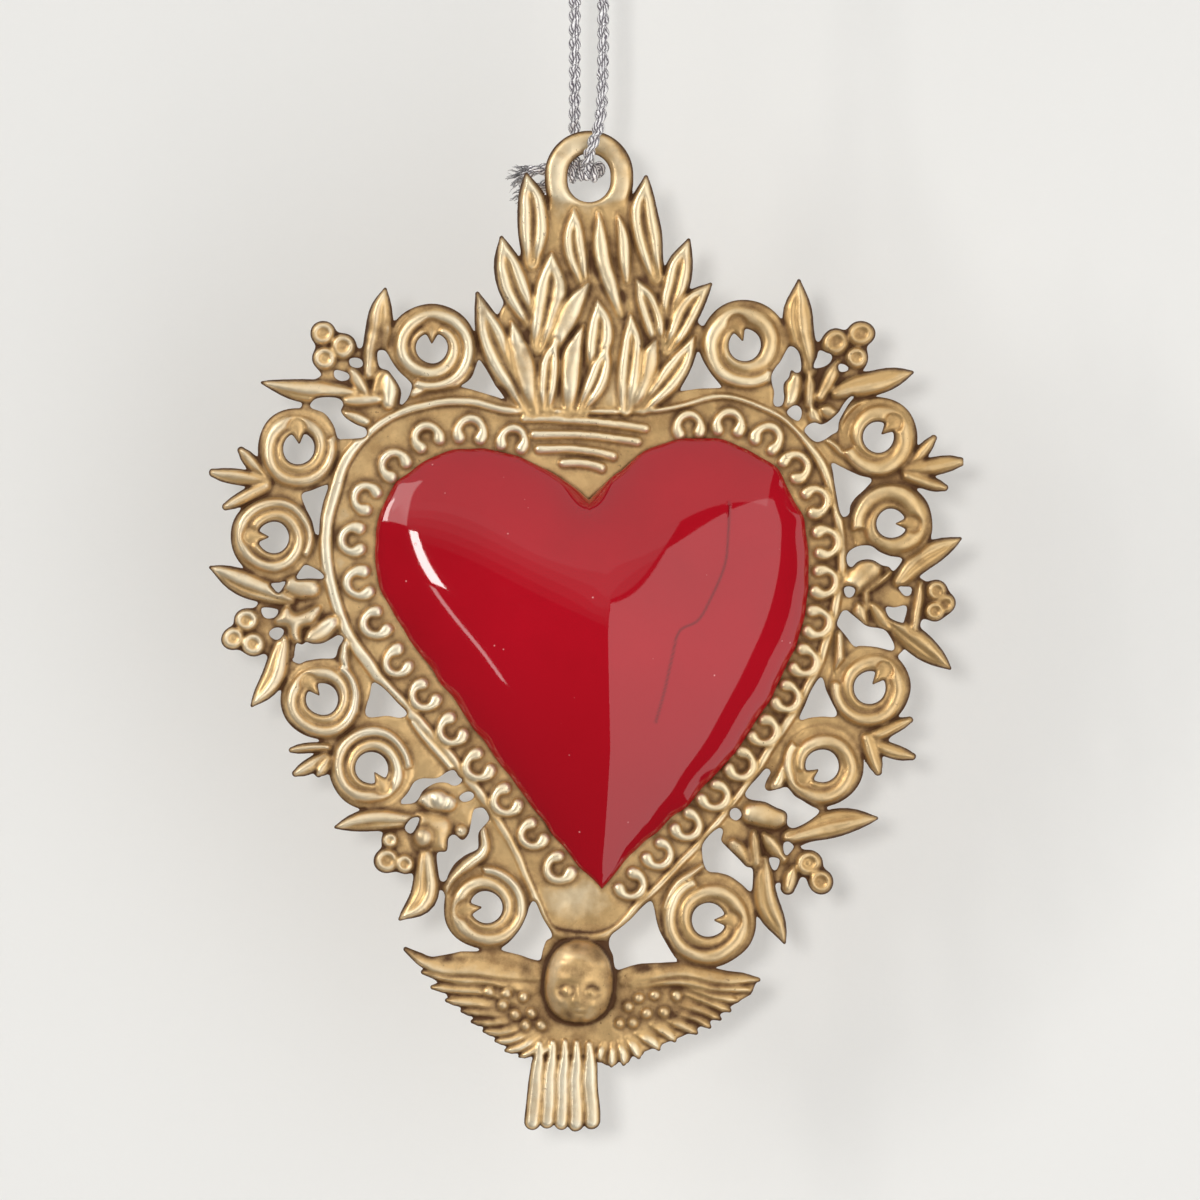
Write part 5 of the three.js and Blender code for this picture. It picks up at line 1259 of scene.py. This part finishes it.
def cubicAt(grid, column, row):
    # bicubic value of a grid, by the Catmull-Rom weights along both ways
    c, r = np.floor(column).astype(int), np.floor(row).astype(int)
    weights = []
    for t in (column - c, row - r):
        weights.append([-0.5 * t + t ** 2 - 0.5 * t ** 3, 1 - 2.5 * t ** 2 + 1.5 * t ** 3,
                        0.5 * t + 2 * t ** 2 - 1.5 * t ** 3, -0.5 * t ** 2 + 0.5 * t ** 3])
    value = 0
    for i in range(4):
        for j in range(4):
            value = value + weights[1][i] * weights[0][j] * grid[r + i - 1, c + j - 1]
    return value


def domeRise(x, z, share):
    # deep * skin^power, carried on as a power of the distance in the last few
    # hundredths before the outline; and below the middle a keel down to the
    # tip that adds high * exp(-|x - middle| / wide) and fades out at the rim
    share = share * np.ones(np.shape(x))
    inner = np.minimum(share, heartSet["rim"])
    pull = inner / np.maximum(share, 1e-6)
    column = (heartCentre[0] + (x - heartCentre[0]) * pull - skinX) / heartSet["skinStep"]
    row = (heartCentre[1] + (z - heartCentre[1]) * pull - skinZ) / heartSet["skinStep"]
    column = np.clip(column, 1, skin.shape[1] - 3)
    row = np.clip(row, 1, skin.shape[0] - 3)
    last = np.clip((1 - share) / (1 - inner), 0, 1) ** 0.75
    height = heartSet["deep"] * cubicAt(skin, column, row) * last
    middle = 2.6 + 0.6 * np.clip((-64 - z) / 30, 0, 1) - 1.6 * np.clip((-80 - z) / 20, 0, 1)
    keel = smoothStep(-54, -68, z) * heartSet["keelHigh"] * np.exp(-np.abs(x - middle) / heartSet["keelWide"])
    return height + keel * np.clip(1 - share, 0, 1) ** 0.6


def domeGrid(shares, lift):
    # the heart's outline drawn in towards its centre, ring by ring
    flat = heartCentre + (heartRing - heartCentre)[None] * shares[:, None, None]
    x, z = flat[..., 0], flat[..., 1]
    return np.stack([x, -(lift + domeRise(x, z, shares[:, None])), z], axis=-1)


def closedShell(name, front, back, material, attributes=None):
    # two grids of rings, each from the rim inwards, joined at the rim and closed
    # at the middle
    rings = np.concatenate([front[::-1], back], axis=0)
    points = np.vstack([rings.reshape(-1, 3), front[-1].mean(axis=0)[None], back[-1].mean(axis=0)[None]])
    groups = [gridFaces(*rings.shape[:2], wrapColumns=True), capFaces(*rings.shape[:2])]
    return makePiece(name, points, groups, material, attributes)


# the coat is a quarter round at its rim
shares = 1 - (np.linspace(0, 1, heartSet["rings"]) ** 1.35) * 0.985
rimRound = np.sqrt(np.clip(1 - (1 - np.clip((1 - shares) / 0.022, 0, 1)) ** 2, 0, 1))
coatFront = domeGrid(shares, fieldSet["sheet"] + heartSet["clearance"])
coatFront[..., 1] -= (heartSet["coat"] * rimRound)[:, None]
coatBack = domeGrid(shares, fieldSet["sheet"] + 0.02)

crackSet = {"width": 0.17, "path": [19.6, -45.5, 19.4, -50, 18.9, -54.3, 16.8, -59.2, 15.1, -62, 12.6, -63.4,
                                    11.6, -66.9, 10.5, -71.8, 9.3, -76.1]}
crackPath = smoothPath(pairs(crackSet["path"]), 50)


def crackMark(points):
    # 1 on the hairline crack, exp(-(distance / width)^2) beside it
    away = np.full(len(points), 9.0)
    for a, b in zip(crackPath[:-1], crackPath[1:]):
        d = b - a
        share = np.clip(((points - a) @ d) / (d @ d), 0, 1)
        away = np.minimum(away, np.linalg.norm(points - a - share[:, None] * d, axis=1))
    return hill(away, crackSet["width"])


places = np.vstack([coatFront[::-1].reshape(-1, 3), coatBack.reshape(-1, 3), np.zeros((2, 3))])[:, [0, 2]]
enamelPiece = closedShell("enamel_coat", coatFront, coatBack, enamel, {"crack": crackMark(places)})
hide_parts("heart_enamel")
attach(enamelPiece, "plate")
print("enamel made", len(enamelPiece.data.polygons))

# metal under the enamel, shown from behind

domeShares = shares * heartSet["cut"]
domePiece = closedShell("heart_dome", domeGrid(domeShares, fieldSet["sheet"]), domeGrid(domeShares, 0.0), brass,
                        {"crest": np.full(len(places), 0.2)})
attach(domePiece, "plate")


# plate pieces from the height field

def layDome():
    # the foot of the dome, from the cut-out to the heart's outline
    window = windowAround(heartRing, 1.0)
    dx, dz = gridX[window] - heartCentre[0], gridZ[window] - heartCentre[1]
    edge = heartRing - heartCentre
    angles = np.arctan2(edge[:, 1], edge[:, 0])
    order = np.argsort(angles)
    limit = np.interp(np.arctan2(dz, dx), angles[order], np.hypot(edge[order, 0], edge[order, 1]),
                      period=2 * np.pi)
    reach = np.hypot(dx, dz) / limit
    share = np.clip(reach, 0, 1)
    relief[window] = np.maximum(relief[window], domeRise(gridX[window], gridZ[window], share) * (share < 1))
    darken(window, 0.8 * hill(1 - reach, 1 / 75))
    cutOut(*insideShape(heartCentre + edge * heartSet["cut"]))


layDome()

# wear and painted light: crests stand out of the height's mean over 0.7 and 1.6 mm
# and are painted pale, as rubbed wear and as painted highlight; cavities lie
# under it; the rim and the wings are browner than the band and the flame
wearAndLightSet = {"near": 0.7, "far": 1.6, "darkPatchSeed": 31, "rimOval": (40, 46), "rimMiddle": -56,
           "rimFrom": 0.86, "pale": 0.42, "dark": 0.12}
metal = (gap < 0).astype(float)
roll = smoothStep(0, 0.3, -gap)
relief = relief * roll + (1 - roll) * np.minimum(relief, 0.05)
for count, (height, size) in enumerate(handSet["dents"]):
    relief = relief + uneven(handSet["seed"] + 2 + count, size, height)
relief = np.maximum(blurred(relief, 0.15), -0.18)
around, broadly = (blurred(relief * metal, size) / (blurred(metal, size) + 1e-6) - relief
                   for size in (wearAndLightSet["near"], wearAndLightSet["far"]))
crest = np.clip(-around * 2.1 - broadly, 0, 1)
cavity = np.clip(around * 1.2, 0, 1)
# darker brown patches and paler patches: place, half widths and strength
darkPatchList = [
    (-1.4, -112.4, 5.4, 6.4, 0.3), (1, -114.6, 3.4, 3.6, 0.5), (1.4, -108.2, 2.8, 2, 0.6),
    (-0.6, -107.2, 3.4, 1.3, 0.9), (-1.4, -117.4, 4.2, 1.6, 0.6), (2.9, -112.5, 1.3, 4, 0.5),
    (-2, -105.6, 4, 0.9, 0.5), (-20.5, -109, 5, 0.9, 0.6), (-25, -108.3, 2.2, 0.9, 0.6),
    (8, -110.6, 4.5, 0.8, 0.6), (12.5, -117.4, 6, 1.4, 0.45), (-8.2, -110.6, 2, 1.6, 0.5),
    (4.8, -113, 1, 2.2, 0.6), (-14.5, -117.5, 5, 2.2, 0.35), (0.5, -119.2, 5, 1, 0.35),
    (-9.6, -0.6, 0.8, 3.4, 0.7), (-13.2, -9.6, 1, 4.2, 0.5), (-15, -18.4, 1, 4.6, 0.5),
    (-3.6, -14.6, 2, 2.6, 0.5), (0.6, -14.2, 2.2, 3, 0.5), (5, -16.6, 1.2, 3.4, 0.5), (6.9, -14, 2.6, 1.2, 0.5),
    (12.6, -19.6, 3, 1.2, 0.4), (-12, -30.2, 4, 1.2, 0.4), (9, -22, 1, 4, 0.4), (-8.8, -22, 1, 5, 0.5),
    (4.4, 3.4, 2, 1.2, 0.4), (-4.6, 3.6, 1.6, 1.4, 0.35), (-2.6, -22, 1, 4, 0.4), (-30.5, -22, 3, 3, 0.35),
    (33, -27, 3, 3, 0.35), (-42, -60.5, 2.5, 2.5, 0.35), (24, -92, 3, 3, 0.35), (40.5, -58.5, 3, 2.5, 0.35),
    (-22, -91, 3, 3, 0.35),
]
paleList = [
    (-2, -101, 4.6, 3.6, 0.6), (-3.8, -126.5, 4.6, 5.5, 0.45), (-0.2, -113.4, 4.8, 5.6, -0.5),
    (4.4, -29.2, 3.6, 3, 0.5), (-3, -20, 9, 11, 0.25), (-35.4, -52, 2.4, 12, 0.25), (-18, -86, 5, 4, 0.2),
    (-1.5, 0.5, 5.5, 5.5, 0.55),
]
darkPatches = np.zeros(relief.shape)
for x, z, wide, tall, strength in darkPatchList:
    darkPatches = np.maximum(darkPatches, strength * hill(gridX - x, wide) * hill(gridZ - z, tall))
# the dark patches are broken up by hills of noise
darkPatches = darkPatches * np.clip(0.75 + uneven(wearAndLightSet["darkPatchSeed"], 0.5, 0.45), 0, 1.3)
for x, z, wide, tall, strength in paleList:
    crest = np.clip(crest + strength * hill(gridX - x, wide) * hill(gridZ - z, tall), 0, 1)
rimReach = np.hypot(gridX / wearAndLightSet["rimOval"][0], (gridZ - wearAndLightSet["rimMiddle"]) / wearAndLightSet["rimOval"][1])
rimMask = smoothStep(wearAndLightSet["rimFrom"], 1.0, rimReach) * smoothStep(10, 20, np.abs(gridX))
wingMask = smoothStep(-100, -106, gridZ) * (1 - smoothStep(-119, -121.5, gridZ))
browner = np.maximum(rimMask, wingMask)
crest = crest * (1 - wearAndLightSet["pale"] * browner)
# painted shade: the colour darkens along every cut edge of the sheet
edgeShade = np.exp(-np.maximum(-gap, 0) / 0.14)
# the hollows' mask: recesses, dark patches and dark lines, with the painted shadow and shade that line and the
# cut edges bring
cavity = cavity + darkPatches + wearAndLightSet["dark"] * browner + 0.65 * blurred(line, 0.14) + 0.5 * edgeShade
cavity = np.clip(cavity, 0, 1)
reliefBack = np.minimum(blurred(relief, 0.3) * 0.93, relief + fieldSet["sheet"] - 0.14)
# slopes along z and x, in that order
frontSlope, backSlope, gapSlope = (np.gradient(values, step) for values in (relief, reliefBack, gap))


def sampled(values, x, z):
    # bilinear value of a grid at any place
    column = np.clip((x - columnsX[0]) / step, 0, len(columnsX) - 1.001)
    row = np.clip((z - rowsZ[0]) / step, 0, len(rowsZ) - 1.001)
    c, r = column.astype(int), row.astype(int)
    fc, fr = column - c, row - r
    return ((values[r, c] * (1 - fc) + values[r, c + 1] * fc) * (1 - fr)
            + (values[r + 1, c] * (1 - fc) + values[r + 1, c + 1] * fc) * fr)


def platePiece(name, keep):
    # front and back of the kept cells, corners outside the metal drawn on to
    # its edge, and a wall round every open edge
    within = gap < -0.04
    corners = within[:-1, :-1] | within[:-1, 1:] | within[1:, 1:] | within[1:, :-1]
    cells = corners & keep
    used = np.zeros(gap.shape, dtype=bool)
    for row, column in ((0, 0), (0, 1), (1, 0), (1, 1)):
        used[row:row + cells.shape[0], column:column + cells.shape[1]] |= cells
    index = np.full(gap.shape, -1)
    index[used] = np.arange(used.sum())
    x, z = gridX[used].copy(), gridZ[used].copy()
    loose = ~within[used]
    for _ in range(4):
        away = sampled(gap, x[loose], z[loose])
        sz, sx = (sampled(part, x[loose], z[loose]) for part in gapSlope)
        size = np.maximum(sx * sx + sz * sz, 0.25)
        x[loose] -= np.clip(away * sx / size, -step, step)
        z[loose] -= np.clip(away * sz / size, -step, step)
    count = len(x)
    front = np.stack([x, -(fieldSet["sheet"] + sampled(relief, x, z)), z], axis=1)
    back = np.stack([x, -sampled(reliefBack, x, z), z], axis=1)
    r, c = np.nonzero(cells)
    a, b, d, e = index[r, c], index[r, c + 1], index[r + 1, c + 1], index[r + 1, c]
    faceFront = np.stack([a, b, d, e], axis=1)
    faceBack = np.stack([e, d, b, a], axis=1) + count
    walls = []
    padded = np.pad(cells, 1)
    for row, column, p, q in ((-1, 0, a, b), (0, 1, b, d), (1, 0, d, e), (0, -1, e, a)):
        bare = ~padded[r + 1 + row, c + 1 + column]
        walls.append(np.stack([q[bare], p[bare], p[bare] + count, q[bare] + count], axis=1))
    wall = np.vstack(walls)

    def slopeWith(slope, y):
        return np.stack([sampled(slope[1], x, z), np.full(count, y), sampled(slope[0], x, z)], axis=1)

    # the front is at y = -(sheet + relief) and the back at y = -reliefBack
    normals = np.vstack([-slopeWith(frontSlope, 1.0), slopeWith(backSlope, 1.0)])
    aside = slopeWith(gapSlope, 0.0)
    normals /= np.linalg.norm(normals, axis=1)[:, None]
    aside /= np.maximum(np.linalg.norm(aside, axis=1)[:, None], 1e-6)
    loops = np.vstack([normals[faceFront.ravel()], normals[faceBack.ravel()],
                       np.vstack([aside, aside])[wall.ravel()]])
    # the back gets less of the pale crests and of the dark hollows, with their painted highlight and shade
    attributes = {label: np.concatenate([sampled(values, x, z), sampled(values, x, z) * share])
                  for label, values, share in (("crest", crest, 0.3), ("cavity", cavity, 0.4))}
    piece = makePiece(name, np.vstack([front, back]), [faceFront, faceBack, wall], brass, attributes, loops)
    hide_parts("stamped_plate")
    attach(piece, "plate")
    print(name, 2 * len(piece.data.polygons), "triangles")


# the plate is cut into five pieces by straight lines and the band's outline
cellX, cellZ = gridX[:-1, :-1] + step / 2, gridZ[:-1, :-1] + step / 2
window, inside = insideShape(smoothPath(pairs(bandSet["outline"]), 160, closed=True))
bandInside = np.full(gap.shape, -9.0)
bandInside[window] = inside
headArea = np.hypot((cellX + 1.4) / 5.0, (cellZ + 112.4) / 6.1) < 1
figureArea = headArea | ((cellZ < -108.05) & (cellX < 8)) | (cellZ < -110.5)
flameArea = (cellZ > -31.4) & (cellX > -15.65) & ((cellX < 15.5) | ((cellZ > -17.4) & (cellX < 19)))
bandArea = (bandInside[:-1, :-1] > 0) & ~flameArea & ~figureArea
rest = ~figureArea & ~flameArea & ~bandArea
leftArea, rightArea = rest & (cellX < 0), rest & (cellX >= 0)
for name, area in (("plate_flame", flameArea), ("plate_band", bandArea), ("plate_rim_left", leftArea),
                   ("plate_rim_right", rightArea), ("plate_figure", figureArea)):
    platePiece(name, area)

# wall, floor and light

# the wall stands clear of the plate when it has turned round and swung back
stageSet = {"wallBehind": 48.0, "floorBelow": -2600.0, "floorDeep": -900.0, "side": 1500.0,
            "colour": (0.62, 0.617, 0.603), "glow": (0.215, 0.214, 0.208), "roughness": 0.9}


def stageMaterial(settings):
    # pale plaster, seen from its front only so that a view from behind is clear;
    # a part of its paleness is its own, for the camera and for reflections alone,
    # which keeps broad shadows light
    graph = Graph("pale plaster")
    spot = graph.place()
    grain = graph.noise(spot, 700.0, 5.0, 0.7) + graph.noise(spot, 60.0, 2.0) * 0.6
    darker = [part * 0.985 for part in settings["colour"]]
    tone = graph.mix(graph.clamp(grain - 0.3), darker, settings["colour"])
    seen = [graph.node("ShaderNodeLightPath", output=ray) for ray in ("Is Camera Ray", "Is Glossy Ray")]
    graph.finish(Base_Color=tone, Roughness=settings["roughness"], Normal=graph.bump(grain, 0.12, 0.0004),
                 Emission_Color=(*settings["glow"], 1), Emission_Strength=graph.clamp(seen[0] + seen[1]))
    both = graph.node("ShaderNodeMixShader", i0=graph.node("ShaderNodeNewGeometry", output="Backfacing"),
                      i1=Signal(graph, graph.shader.outputs[0]), i2=graph.node("ShaderNodeBsdfTransparent"))
    graph.feed(graph.tree.nodes["Material Output"].inputs["Surface"], both)
    return graph.material


plaster = stageMaterial(stageSet)
side, behind, below, deep = (stageSet[key] for key in ("side", "wallBehind", "floorBelow", "floorDeep"))
stagePlanes = {"wall": [[behind, below], [behind, side]], "floor": [[deep, below], [behind, below]]}
for name, (near, far) in stagePlanes.items():
    corners = [[-side, *near], [side, *near], [side, *far], [-side, *far]]
    makePiece(name, corners, [np.array([[0, 1, 2, 3]])], plaster)

# a "soft" lamp leaves no reflection and a "sheen" lamp leaves nothing else; a
# "level" one is aimed straight back, an "upright" one isn't tipped, and "roll"
# is a turn about its aim in degrees
warmWhite, windowWhite, panelWhite = (1.0, 0.99, 0.97), (1.0, 0.98, 0.95), (1.0, 0.99, 0.98)
lampSet = {
    "key": {"at": (-760, -1300, 300), "size": (620, 620), "watts": 3.2, "colour": warmWhite, "soft": True},
    "front fill": {"at": (-95, -1600, -10), "size": (90, 90), "watts": 8.4, "colour": warmWhite, "soft": True},
    "window haze": {"at": (-674, -421, 362), "size": (455, 415), "watts": 1.8, "colour": windowWhite,
                    "sheen": True},
    "window top": {"at": (-773, -328, 262), "size": (200, 180), "watts": 1.1, "colour": windowWhite,
                   "sheen": True},
    "window": {"at": (-588, -701, 4), "size": (58, 300), "watts": 1.2, "colour": windowWhite, "roll": 5},
    "window gap": {"at": (-618, -680, -322), "size": (24, 300), "watts": 0.12, "colour": windowWhite,
                   "roll": -4},
    "right panel": {"at": (448, -775, -355), "size": (760, 1540), "watts": 6.1, "colour": panelWhite,
                    "upright": True},
    "far right": {"at": (990, -190, -300), "size": (460, 1500), "watts": 3.0, "colour": panelWhite,
                  "upright": True, "sheen": True},
}
# each layer of ceiling light: lowest and highest angle above the eye line in
# degrees, its middle, its width and its radiance; the lower ones are fainter
# and stop before the right, where the panel begins
skySet = {
    "away": 1100, "eyeLine": -60,
    "layers": [(33, 88, -218, 2560, 0.9), (28, 33, -500, 1200, 0.24), (24, 33, -480, 1160, 0.2),
               (20, 33, -460, 1120, 0.18), (16, 33, -440, 1080, 0.16), (12, 33, -420, 1040, 0.14)],
}
for low, high, middle, wide, radiance in skySet["layers"]:
    # area = wide * 2 * away * tan(half the span), watts = radiance * pi * area
    rise, half = np.radians((low + high) / 2), np.radians((high - low) / 2)
    tall = 2 * skySet["away"] * np.tan(half)
    place = (middle, -skySet["away"] * np.cos(rise), skySet["eyeLine"] + skySet["away"] * np.sin(rise))
    lampSet[f"ceiling from {low}"] = {
        "at": place, "size": (wide, tall), "watts": radiance * np.pi * wide * tall / 1e6,
        "colour": warmWhite, "level": True, "sheen": True}
for name, lamp in lampSet.items():
    data = bpy.data.lights.new(name, "AREA")
    data.shape = "RECTANGLE"
    data.size, data.size_y = lamp["size"][0] / 1000, lamp["size"][1] / 1000
    data.energy = lamp["watts"]
    data.color = lamp["colour"]
    light = bpy.data.objects.new(name, data)
    light.visible_glossy = not lamp.get("soft", False)
    light.visible_diffuse = not lamp.get("sheen", False)
    x, y, z = lamp["at"]
    light.location = toRow([[x, y, z]])[0]
    target = (x if lamp.get("level") else 0.0, 0.0, z if lamp.get("upright") else skySet["eyeLine"])
    aim = np.array(target) - np.array([x, y, z])
    yaw, pitch = np.arctan2(aim[0], -aim[1]), np.arctan2(np.hypot(aim[0], aim[1]), -aim[2])
    light.rotation_mode = "QUATERNION"
    turned = Quaternion((0, 0, 1), np.radians(lamp.get("roll", 0)))
    light.rotation_quaternion = Euler((pitch, 0, yaw + np.pi)).to_quaternion() @ turned
    bpy.context.scene.collection.objects.link(light)

roomSet = {"colour": (0.92, 0.93, 0.95), "strength": 0.12}
world = bpy.data.worlds.new("room")
world.use_nodes = True
bpy.context.scene.world = world
background = world.node_tree.nodes["Background"]
background.inputs["Color"].default_value = (*roomSet["colour"], 1)
background.inputs["Strength"].default_value = roomSet["strength"]
bpy.context.scene.view_settings.view_transform = "Standard"
print("stage and light made")
